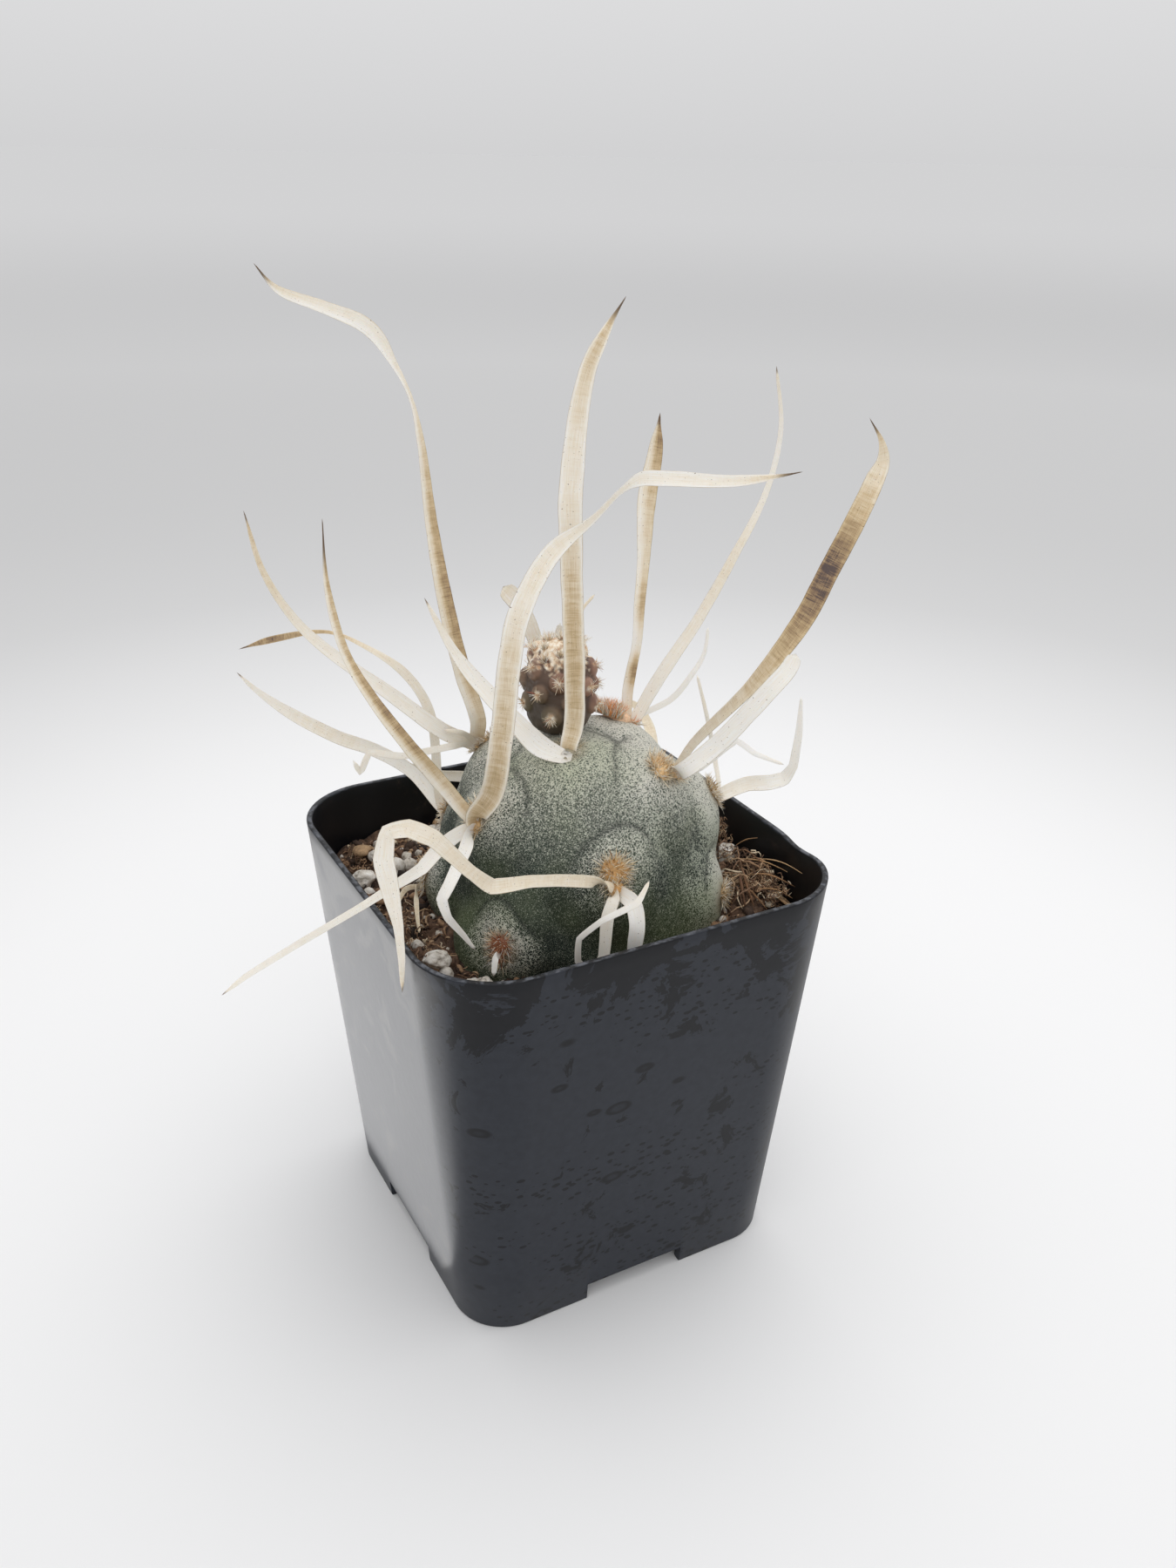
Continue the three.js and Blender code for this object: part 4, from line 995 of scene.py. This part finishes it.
# Each spine: its areole, its kind, which is kinked, even, or browned in the centre or on the right,
# the length of its dark point, then rows from root to tip: x, y, z, width, how brown the paper is in
# percent, and its roll in degrees where it has one.
spines = [
    ("crown_left", "right", 3, [
        (-8.8, 8.2, 80, 2.3, 35), (-10.2, 9.6, 86, 2.3, 50), (-11.6, 12, 96, 2.2, 68, 10),
        (-12.6, 13.8, 106.4, 1.8, 55, 25), (-13.6, 14.4, 118, 1.3, 35, 45), (-14.5, 15, 123.4, 1, 22, 60),
        (-16.5, 15, 127.6, 1.2, 16, 40), (-19.5, 15.4, 132.2, 2, 12), (-25, 16.3, 134.8, 1.6, 16),
        (-30.4, 17.4, 137, 1.1, 25), (-33, 17.4, 140, 0.4, 50)]),
    ("crown_left", "even", 2, [
        (-13.3, 9.4, 78.2, 2.3, 8), (-19.4, 13.4, 83.4, 2, 10), (-28.9, 20.6, 91.9, 1.4, 14),
        (-33.4, 23, 100, 0.9, 30, 10), (-35.2, 24.2, 108.8, 0.4, 40, 20)]),
    ("crown_left", "kinked", 0, [
        (-13, 8.4, 76.4, 1, 10), (-19.4, 10.8, 75.2, 1, 10), (-23.4, 13, 75.6, 0.9, 12),
        (-24.7, 13.7, 72.6, 0.9, 12), (-25.5, 14.2, 74.4, 0.5, 12)]),
    ("crown_left", "even", 0, [(-11.5, 8, 78.4, 0.8, 15), (-14, 8.6, 79, 0.4, 20)]),
    ("crown_front", "centre", 4, [
        (-1.4, -6.6, 83, 2.7, 42), (-1.7, -7.2, 91.4, 2.8, 50), (-2.5, -7.8, 102, 2.8, 42),
        (-3.2, -8.5, 116, 3, 16), (-1.3, -8.5, 129, 2.1, 34), (1.2, -8.7, 134, 1.5, 45),
        (4.1, -8, 137.5, 0.4, 60)]),
    ("crown_front", "even", 1, [
        (-3, -7.8, 79.4, 1.7, 6), (-6, -6.2, 80.7, 3, 4), (-8.6, -4.4, 83.7, 2.6, 5),
        (-12.7, 1.3, 89.6, 1.9, 6), (-14.4, 3.4, 92.7, 1.3, 10), (-17.1, 6.1, 99.4, 0.4, 20)]),
    ("shoulder_left", "centre", 4, [
        (-14.4, -8.4, 76.4, 3.1, 50), (-14.4, -11.4, 84.8, 3, 42), (-14.1, -13.9, 97.6, 2.9, 30),
        (-13.2, -14.4, 102.6, 2.8, 18), (-9, -14.5, 109.5, 2.3, 18, 10),
        (-3.4, -14.8, 113.4, 1.2, 18, 50), (0.3, -15, 116.5, 1.1, 14, 55),
        (2.6, -15.2, 117.5, 1.7, 12, 20), (5.7, -15.8, 117.4, 1.9, 12), (13.8, -18, 116.8, 1.5, 16),
        (20.5, -19.4, 117.2, 0.8, 40), (23.2, -19.8, 117.5, 0.4, 60)]),
    ("shoulder_left", "right", 7, [
        (-19.2, -3.1, 76.7, 2.1, 40), (-23.7, -2.9, 83.2, 1.9, 65), (-27.7, -0.6, 90, 1.5, 65, 10),
        (-29.8, 1.7, 95.2, 1.2, 50, 20), (-31, 3.3, 103.2, 1, 50, 20), (-31, 3.5, 112, 0.4, 75, 20)]),
    ("shoulder_left", "kinked", 2, [
        (-20.4, -5, 68.4, 2, 5), (-24.2, -7.4, 67.2, 1.7, 5), (-28.6, -9.4, 66.9, 1.3, 8),
        (-33.2, -9.4, 65, 1, 10), (-39.8, -0.7, 56.2, 0.9, 12), (-44.7, 9.7, 46.5, 0.8, 12),
        (-47.3, 14.6, 41.2, 0.4, 20)]),
    ("shoulder_left", "kinked", 0, [
        (-18.4, -8.4, 69, 1.8, 3), (-22.2, -11.7, 66.3, 1.6, 3), (-23.5, -12.4, 65, 1.5, 3),
        (-23.2, -13.6, 62.8, 1.1, 5), (-21.5, -14.6, 60.2, 0.8, 5), (-20.2, -15.4, 58, 0.4, 10)]),
    ("crown_right", "even", 3, [
        (14.5, -11.5, 79.3, 2.7, 25, 60), (24.2, -11.2, 86.4, 2.9, 40, 45),
        (32.8, -10.3, 94.3, 3, 70, 10), (36.7, -10.1, 100.7, 2.9, 95), (40.4, -9.9, 106.8, 2.9, 60),
        (44.5, -8.7, 112.6, 2.6, 32), (45.8, -8.3, 114.8, 1.8, 28), (45.4, -8.1, 117.3, 1.1, 35),
        (43.6, -7.1, 120.6, 0.4, 60)]),
    ("crown_right", "even", 0, [
        (9.8, -16.6, 78.2, 2.3, 6), (13.2, -18.9, 82, 2.5, 4), (18.7, -23, 90.9, 2.4, 5),
        (20.6, -23.5, 93.2, 2.3, 5), (21.6, -23.6, 95.2, 2, 10)]),
    ("crown_right", "kinked", 0, [
        (13.4, -15.6, 77.6, 0.9, 0), (17.6, -17.6, 81.5, 0.8, 0), (19.7, -19, 79.8, 0.7, 0),
        (23.3, -21, 78.2, 0.4, 10)]),
    ("crown_back", "right", 2, [
        (12.8, 3.4, 81.8, 1.6, 20), (13.7, 3.9, 85.2, 1.5, 70), (14.7, 4.4, 88.8, 1.4, 12),
        (15.6, 5.5, 94.3, 1.6, 50), (16.7, 6.7, 99.8, 1.8, 30), (17.9, 8.3, 108.8, 2.6, 40),
        (19.5, 9.2, 114.7, 2.1, 62), (20.2, 9.4, 120.2, 0.7, 85)]),
    ("crown_back", "even", 1, [
        (17.4, 2.2, 83.9, 1.9, 8), (23.3, 1.9, 91.8, 1.6, 14), (28.3, 1.4, 100.3, 1.3, 20),
        (33.4, 1.4, 109.5, 0.9, 10), (35, 1.2, 118, 0.7, 8), (32.7, 0.2, 127, 0.4, 20)]),
    ("crown_back", "even", 0, [
        (18.9, 0.9, 80.8, 0.9, 0), (21.8, 0.4, 84.2, 0.8, 0), (23.8, 0.5, 87, 0.6, 0),
        (24.7, 1.1, 90.9, 0.4, 5)]),
    ("shoulder_right", "kinked", 0, [
        (28.2, -6.5, 68.2, 2.2, 14), (32.3, -6.5, 67.6, 2.3, 6), (35.3, -6, 67.4, 2, 6),
        (36.5, -6.4, 69.4, 1.4, 5), (37.4, -5.9, 74.4, 1.1, 3), (37.9, -5.1, 80, 0.4, 5)]),
    ("shoulder_right", "even", 0, [
        (23.2, -4.8, 72.6, 0.7, 10), (22.4, -3.3, 78.8, 0.6, 10), (21.4, -1.6, 84.9, 0.4, 10)]),
    ("shoulder_front", "kinked", 1, [
        (-6.3, -22.2, 68.2, 1.7, 30), (-11.7, -22.3, 69.8, 1.6, 25), (-15.4, -22.3, 70.6, 1.6, 25),
        (-20.6, -21.7, 70.9, 2, 25), (-23.4, -21.3, 73.6, 1.7, 25), (-27.7, -20.6, 78.8, 2.2, 20),
        (-30.4, -19.8, 80.3, 2.2, 18), (-32.5, -18.6, 79.7, 2, 15), (-33.1, -18.2, 76, 2.5, 10),
        (-32.6, -18.5, 72, 2.3, 12), (-32, -19.1, 67, 1.3, 12), (-31.8, -19.2, 62, 0.9, 15),
        (-31.8, -18.8, 57, 0.4, 30)]),
    ("shoulder_front", "even", 0, [
        (-1.8, -24.2, 64.9, 2.2, 5), (-2, -25.8, 62.8, 2.1, 3), (-2.4, -26, 59.4, 1.9, 3),
        (-2.6, -25.4, 55.4, 0.8, 5)]),
    ("shoulder_front", "kinked", 0, [
        (-4.7, -22.8, 62.8, 1.7, 12), (-5.6, -23.6, 57.4, 1.5, 10), (-7.4, -23.6, 55, 1.1, 8),
        (-9.3, -23.4, 57.8, 0.9, 6), (-9.4, -23.8, 61.4, 0.8, 6), (-7.2, -25.6, 64.4, 0.8, 5),
        (-2.9, -27.2, 66.8, 0.9, 8), (-0.9, -26.6, 69.2, 0.4, 20)]),
    ("low_front", "even", 0, [(-17.2, -15.2, 56.2, 0.9, 3), (-18.2, -16.5, 54, 0.7, 3)]),
    ("low_left", "even", 0, [
        (-20.6, 4.4, 56.4, 0.8, 30), (-22, 0.6, 55, 0.6, 35), (-23, -2.6, 54.4, 0.4, 40)]),
    ("low_left", "even", 0, [(-21.2, 6.8, 56.2, 0.8, 30), (-23.6, 4.6, 55, 0.4, 40)]),
    ("side_left", "even", 2, [
        (-12.6, 16.8, 78.4, 1.4, 15), (-15, 19.6, 83.8, 1.3, 15), (-19.9, 22.5, 87.8, 0.8, 25, 30),
        (-24.4, 25, 89.9, 0.6, 55, 30), (-31.4, 28.6, 88.8, 1, 75), (-36, 31, 87.2, 0.4, 70)]),
    ("side_left", "even", 1, [
        (-15, 18.6, 68.6, 1.9, 6), (-19.4, 22.2, 71.6, 2, 8), (-24.1, 24.8, 73.6, 2, 16),
        (-29.8, 28, 77.1, 1.7, 12), (-34.3, 30.2, 81, 0.8, 10), (-36.6, 31, 83.8, 0.4, 15)]),
    ("shoulder_back", "even", 0, [
        (4.6, 14.4, 82, 2.2, 20), (3.4, 14.6, 88, 2.2, 15), (1.2, 16, 93.4, 2.6, 10),
        (-0.6, 17, 95.8, 2.6, 20)]),
    ("shoulder_back", "even", 0, [(6.2, 14, 83, 1.8, 10), (6, 11.6, 91, 0.8, 5)]),
    ("shoulder_back", "even", 0, [
        (9, 14.6, 82, 0.7, 20), (11, 14.6, 91, 0.5, 20), (13.4, 14.8, 93.4, 0.4, 30)]),
    ("low_back", "even", 1, [
        (-2, 24.6, 62, 1.8, 15), (-7.6, 26.4, 63.4, 1.6, 15), (-13, 26.8, 66, 1.2, 20),
        (-18, 26.4, 70, 0.4, 30)]),
    ("low_back_right", "even", 1, [
        (23.6, 13.2, 67, 1.8, 30), (26, 19, 69, 1.6, 30), (26.6, 25, 70, 1.1, 30),
        (25, 29, 68, 0.4, 40)]),
]


def curve_point(a, b, c, d, part):
    """A point between b and c on a smooth curve through four points, even where gaps differ."""
    gaps = [max((q - p).length, 1e-4) ** 0.5 for p, q in ((a, b), (b, c), (c, d))]
    t0, t1 = 0, gaps[0]
    t2 = t1 + gaps[1]
    t3 = t2 + gaps[2]
    t = t1 + (t2 - t1) * part
    ab = a.lerp(b, (t - t0) / (t1 - t0))
    bc = b.lerp(c, (t - t1) / (t2 - t1))
    cd = c.lerp(d, (t - t2) / (t3 - t2))
    return ab.lerp(bc, (t - t0) / (t2 - t0)).lerp(bc.lerp(cd, (t - t1) / (t3 - t1)), (t - t1) / (t2 - t1))


def spine_path(root_place, normal, style, rows):
    """Stations along a spine, each a point with its width, roll and brownness."""
    kink = KINK if style == "kinked" else 0
    first = Vector(rows[0][:3])
    lean = first - root_place
    lean -= normal * lean.dot(normal)
    if lean.length > 0.5:
        lean *= 0.5 / lean.length
    points = [root_place - normal * PLUG_DEPTH * 0.7 + lean, root_place + normal * PLUG_LIFT + lean * 1.6]
    points += [Vector(row[:3]) for row in rows]
    values = [Vector((row[3], row[5] if len(row) > 5 else 0, row[4] / 100)) for row in rows]
    values = [Vector((rows[0][3] * share, *values[0][1:])) for share in (0.8, 0.9)] + values
    ends = [points[0] * 2 - points[1], *points, points[-1] * 2 - points[-2]]
    value_ends = [values[0], *values, values[-1]]
    stations = []
    for span in range(len(points) - 1):
        steps = max(2, round((points[span + 1] - points[span]).length / SPINE_STEP))
        for step in range(steps + (span == len(points) - 2)):
            part = step / steps
            before, low, high, after = value_ends[span:span + 4]
            slope_low, slope_high = (high - before) / 2, (after - low) / 2
            square, cube = part * part, part ** 3
            value = low * (2 * cube - 3 * square + 1) + slope_low * (cube - 2 * square + part)
            value += high * (3 * square - 2 * cube) + slope_high * (cube - square)
            point = curve_point(*ends[span:span + 4], part)
            straight = points[span].lerp(points[span + 1], part)
            stations.append((point.lerp(straight, kink if span > 1 else 0), value))
    return stations


def brown_across(style, across):
    """How strongly the brown shows at a place across the ribbon, from 0 to 1."""
    if style == "centre":
        return 1 - 0.8 * ease(0.45, 0.95, abs(2 * across - 1))
    if style == "right":
        return 0.3 + 0.7 * ease(0.3, 0.5, across)
    return 1 - 0.3 * ease(0.75, 1, abs(2 * across - 1))


PAPER_VALUES = ("across", "along", "brown", "point")


def make_ribbon(name, seed, root_place, normal, style, point_length, rows):
    """One papery spine: a closed lens-shaped ribbon that follows its stations."""
    stations = spine_path(root_place, normal, style, rows)
    ribbon = primitive(bpy.ops.mesh.primitive_grid_add, name, size=1,
                       x_subdivisions=SECTION_POINTS, y_subdivisions=len(stations) - 1)
    lengths = [0]
    for (a, _), (b, _) in zip(stations, stations[1:]):
        lengths.append(lengths[-1] + (b - a).length)
    sections, across = [], None
    for i, (point, value) in enumerate(stations):
        tangent = (stations[min(i + 1, len(stations) - 1)][0] - stations[max(i - 1, 0)][0]).normalized()
        facing = tangent.cross(RIBBONS_FACE)
        kept = (across - tangent * across.dot(tangent)).normalized() if across else facing
        across = kept.lerp(facing, facing.length_squared).normalized()
        side = Matrix.Rotation(math.radians(value[1]), 3, tangent) @ across
        sections.append((point, side, side.cross(tangent), value))
    values = []
    for vertex in ribbon.data.vertices:
        row = round((vertex.co.y + 0.5) * (len(stations) - 1))
        turn = round((vertex.co.x + 0.5) * SECTION_POINTS) % SECTION_POINTS / SECTION_POINTS * 2 * math.pi
        point, side, face, (width, _, brown) = sections[row]
        length = lengths[row]
        share = math.cos(turn)
        wavy = 1 + 0.05 * noise.noise(Vector((length * 0.35, seed * 9.1, share))) * (width > 1)
        to_tip = lengths[-1] - length
        width *= blend_numbers(0.3, 1, ease(0, point_length * 2, to_tip)) if point_length else 1
        rounding = math.sqrt(1 - max(0, 1 - to_tip / max(width / 2, 0.1)) ** 2)
        half = width / 2 * wavy * max(rounding, 0.1)
        thick = min(SPINE_THICKNESS, width) / 2 * (0.35 + 0.65 * (1 - share * share))
        cup = SPINE_CUP * width * (2 * share * share - 1)
        height = thick * math.sin(turn) + cup
        if row in (0, len(stations) - 1):
            half, height = 0, 0
        vertex.co = (point + side * share * half + face * height) * MM
        at = share / 2 + 0.5
        horny = 1 - ease(point_length * 0.4, point_length * 1.1, to_tip) if point_length else 0
        values.append((at, length + seed * SEED_SHIFT, brown * brown_across(style, at), horny))
    for name, column in zip(PAPER_VALUES, zip(*values)):
        set_attribute(ribbon, name, column)
    edit(ribbon, MERGE_POINTS, TURN_OUTWARD)
    return ribbon


# Dead papery tissue: cream to white, with fine lengthwise fibres, brown cross bands where it has
# browned, small brown specks, and a dark horny point.
paper, shader, add = new_material("dry papery spine tissue")
across, along, brown, point = [
    add("Attribute", attribute_name=name).outputs["Fac"] for name in PAPER_VALUES]
flat = add("CombineXYZ", [across, along, 0.0])
bands_at = add("Mapping", {"Vector": flat, "Scale": (0.5, 0.85, 1)})
bands = add("TexNoise", {"Vector": bands_at, "Scale": 1.5, "Detail": 3, "Roughness": 0.6})
fibres_at = add("Mapping", {"Vector": flat, "Scale": (26, 0.3, 1)})
fibres = add("TexNoise", {"Vector": fibres_at, "Scale": 1.0, "Detail": 3, "Roughness": 0.6})
specks_at = add("Mapping", {"Vector": flat, "Scale": (9, 4.2, 1)})
specks_noise = add("TexNoise", {"Vector": specks_at, "Scale": 1.0, "Detail": 1})
specked = add("MapRange", [specks_noise, 0.7, 0.76, 0.0, 0.8])
lines_at = add("Mapping", {"Vector": flat, "Scale": (1.2, 5, 1)})
lines_noise = add("TexNoise", {"Vector": lines_at, "Scale": 1.0, "Detail": 2})
cross_lines = add("MapRange", [lines_noise, 0.52, 0.66, 0.0, 0.2])
band_part = add("MapRange", [bands, 0.3, 0.7, 0.82, 1.2])
banded = add("Math", [band_part, cross_lines])
browned = add("Math", [brown, banded], operation="MULTIPLY")
fibre_part = add("MapRange", [fibres, 0.3, 0.7, -0.09, 0.09])
edge_at = add("Math", [across, 0.5], operation="SUBTRACT")
edge_off = add("Math", [edge_at], operation="ABSOLUTE")
edge = add("MapRange", [edge_off, 0.44, 0.49, 0.0, 0.14])
edged = add("Math", [browned, edge])
toned = add("Math", [edged, fibre_part], use_clamp=True)
tone = add("ValToRGB", [toned], stops=[
    (0.0, "#faf8f3"), (0.12, "#f6efe2"), (0.3, "#e9dbc2"), (0.5, "#d0b992"), (0.72, "#ae946e"),
    (0.9, "#866d55"), (1.0, "#5a4a45")])
freckled = add("Mix", [specked, tone, "#6f5540"], data_type="RGBA")
pointed = add("Mix", [point, freckled, "#66533f"], data_type="RGBA")
ridges = add("Mix", [0.35, fibres, bands])
bump = add("Bump", {"Height": ridges, "Strength": 0.35, "Distance": 0.0002})
wire(shader, {
    "Base Color": pointed, "Roughness": 0.55, "Subsurface Weight": 0.1,
    "Subsurface Radius": (0.0004, 0.0003, 0.0002), "Subsurface Scale": 1.0, "Normal": bump})
for areole, (root_place, _, normal, _) in seats.items():
    ribbons = [
        make_ribbon(f"ribbon_{seed}", seed, root_place, normal, style, point_length, rows)
        for seed, (home, style, point_length, rows) in enumerate(spines) if home == areole]
    if not ribbons:
        continue
    spray = joined(ribbons, f"papery_spines_{areole}")
    smooth(spray)
    place_on_root(spray, paper, "papery_spine", f"spines_{areole}")

# Glochid tufts
# Each areole is a small felted cushion. Its upper part bears a tuft of fine barbed bristles, gold
# to rust, and loose cream hairs lie round it.
TUFT_NEEDLES_PER_AREA = 60
ROOT_NEEDLES_PER_AREA = 36
TUFT_NEEDLE_RADIUS = 0.085
ROOT_NEEDLE_LEAN = 1.2
TUFT_SHIFT = 0.3
FELT_HAIRS = 70
BARE_AREOLE = "crown_front"
# How much wider than deep a tuft is, how far its needles lean, how dense they are and how high its
# felt stands, for most tufts and for three that differ.
TUFT_SHAPE = (1, 1.15, 1, 0.5)
TUFT_SHAPES = {
    "crown_back": (1.35, 0.3, 2.4, 1.5),
    "crown_right": (1.3, 1, 1.4, 0.7),
    "shoulder_front": (1.15, 1.15, 1.2, 0.5),
}
rng = random.Random(23)
cushion_seed = seed_body(3)
PALE_HAIRS = ("#f1e8d6", "#dfcdac", "#f9f5ec")
for areole, (root_place, tuft_place, normal, to_tuft) in seats.items():
    _, _, root, tuft, length, _, _, browns = areoles[areole]
    if root:
        tuft_place = tuft_place.lerp(root_place, TUFT_SHIFT)
    widening, lean, density, felt_height = TUFT_SHAPES.get(areole, TUFT_SHAPE)
    sideways = normal.cross(to_tuft)
    bodies = []
    turn = Matrix((sideways, to_tuft, normal)).transposed()
    for place, radius, rise in ((root_place, root * 0.8, 0.5), (tuft_place, tuft * 0.9, felt_height)):
        if radius == 0:
            continue
        points = []
        for corner in cushion_seed[0]:
            rough = 1 + 0.3 * noise.noise(corner * 3 + place)
            across = radius * (widening if place is tuft_place else 1)
            flat_corner = Vector((corner.x * across, corner.y * radius, corner.z * rise))
            points.append(place + turn @ (flat_corner * rough))
        bodies.append(((points, cushion_seed[1]), browns[1]))
    outward = (normal + to_tuft * (0.3 if root else 0)).normalized()
    for direction in spread(outward, round(TUFT_NEEDLES_PER_AREA * tuft * tuft * density), lean, rng):
        shift = (direction - normal * direction.dot(normal)) * tuft / math.sin(lean) * rng.uniform(0.5, 1)
        shift += sideways * shift.dot(sideways) * (widening - 1)
        outer = direction.angle(outward) > lean * 0.6
        reach = (PLUG_LIFT + length) * rng.uniform(0.3, 0.75)
        way = (direction + Vector([rng.gauss(0, 0.22) for _ in range(3)])).normalized()
        body = needle(tuft_place + shift, way, reach, TUFT_NEEDLE_RADIUS, rng.uniform(-0.45, 0.45))
        weights = (3, 1, 4, 1, 4, 3, 3) if outer else (5, 5, 4, 4, 1, 2, 1)
        bodies.append((body, rng.choices(browns + PALE_HAIRS, weights)[0]))
    root_needles = 0 if areole == BARE_AREOLE else round(ROOT_NEEDLES_PER_AREA * root * root)
    for direction in spread(normal, root_needles, ROOT_NEEDLE_LEAN, rng):
        foot = root_place + (direction - normal * direction.dot(normal)) * root * rng.uniform(0.7, 1.1)
        way = (direction + Vector([rng.gauss(0, 0.25) for _ in range(3)])).normalized()
        reach = PLUG_LIFT * rng.uniform(0.9, 2.1)
        body = needle(foot, way, reach, TUFT_NEEDLE_RADIUS, rng.uniform(-0.45, 0.45))
        bodies.append((body, rng.choices(browns + PALE_HAIRS, (4, 2, 4, 1, 3, 4, 2))[0]))
    middle = (root_place + tuft_place) / 2
    span = (tuft_place - root_place).length / 2
    for i in range(FELT_HAIRS):
        out = Matrix.Rotation(i * GOLDEN_ANGLE, 3, normal) @ to_tuft
        foot = middle + out * (max(root, tuft) * 0.8 + span * abs(out.dot(to_tuft))) + normal * 0.1
        lean = normal * rng.uniform(0.1, 0.8) + normal.cross(out) * rng.gauss(0, 0.5)
        way = (out + lean).normalized()
        reach = rng.uniform(0.5, 1.6)
        body = needle(foot, way, reach, NEEDLE_RADIUS * 0.7, rng.uniform(-0.4, 0.4))
        bodies.append((body, rng.choice(PALE_HAIRS)))
    piece = many_bodies(f"glochid_tuft_{areole}", bodies)
    place_on_root(piece, bristle, "glochid_bristle", f"glochids_{areole}")

# Studio
# A pale floor inside a soft white dome that is brighter overhead than at its foot. The floor's
# colour is painted nearly white round the pot, light grey further out and paler again far off,
# where it meets the dome: a painted pool of light, as on a lit paper sheet.
FLOOR_RADIUS = 60
BRIGHT_MIDDLE = Vector((0.03, 0.03, 0))
floor = primitive(
    bpy.ops.mesh.primitive_circle_add, "floor", vertices=64, radius=FLOOR_RADIUS, fill_type="NGON")
paint, shader, add = new_material("matt paper floor with a painted pool of light")
where = add("TexCoord").outputs["Object"]
distance = add("VectorMath", [where, BRIGHT_MIDDLE], operation="DISTANCE")
tone = add("MapRange", [distance, 0.0, 4.0])
colour = add("ValToRGB", [tone], stops=[
    (0.0, "#f4f4f4"), (0.03, "#f2f2f2"), (0.05, "#e2e2e2"), (0.075, "#c9c9c9"), (0.125, "#c3c3c3"),
    (0.225, "#cdcdcd"), (0.5, "#e2e2e2"), (0.8, "#e7e7e7"), (1.0, "#e7e7e7")])
colour.color_ramp.interpolation = "B_SPLINE"
wire(shader, {"Base Color": colour, "Roughness": 1.0, "Specular IOR Level": 0.0})
floor.data.materials.append(paint)

world = bpy.data.worlds.new("soft white dome")
world.use_nodes = True
add = functools.partial(add_node, world.node_tree)
direction = add("TexCoord").outputs["Generated"]
parts = add("SeparateXYZ", [direction])
glow = add("ValToRGB", [parts.outputs[2]], stops=[(0.0, "#d2d2d3"), (0.09, "#dcdcdd"), (1.0, "#efeff0")])
wire(world.node_tree.nodes["Background"], {"Color": glow, "Strength": 1.0})
bpy.context.scene.world = world


def area_light(name, place, size, power):
    """A square area light that looks at the pot's middle."""
    data = bpy.data.lights.new(name, "AREA")
    data.size = size
    data.energy = power
    lamp = bpy.data.objects.new(name, data)
    lamp.location = place
    lamp.rotation_euler = (Vector((0, 0, 0.05)) - Vector(place)).to_track_quat("-Z", "Y").to_euler()
    bpy.context.scene.collection.objects.link(lamp)
    return lamp


area_light("key", (0.3, 0.25, 0.9), 1.2, 3.2)
area_light("front fill", (-0.35, -0.8, 0.55), 1.0, 1.6)
card = area_light("low card", (-0.094, 0.055, 0.002), 0.135, 0.1)
card.rotation_euler = (math.pi, 0, 0)
card.visible_camera = False
card.visible_diffuse = False

CAMERA_PLACE = Vector((-80.3, -152.9, 152.7)) * MM
CAMERA_TARGET = Vector((3.448, -2.199, 71.55)) * MM
CAMERA_ROLL = 1.137
CAMERA_LENS = 30.8
camera_data = bpy.data.cameras.new("camera")
camera_data.lens = CAMERA_LENS
camera_data.clip_start = 0.01
camera = bpy.data.objects.new("camera", camera_data)
turn = (CAMERA_TARGET - CAMERA_PLACE).to_track_quat("-Z", "Y").to_matrix()
turn = turn @ Matrix.Rotation(math.radians(CAMERA_ROLL), 3, "Z")
camera.matrix_world = Matrix.Translation(CAMERA_PLACE) @ turn.to_4x4()
bpy.context.scene.collection.objects.link(camera)
bpy.context.scene.camera = camera
bpy.context.scene.view_settings.view_transform = "Standard"
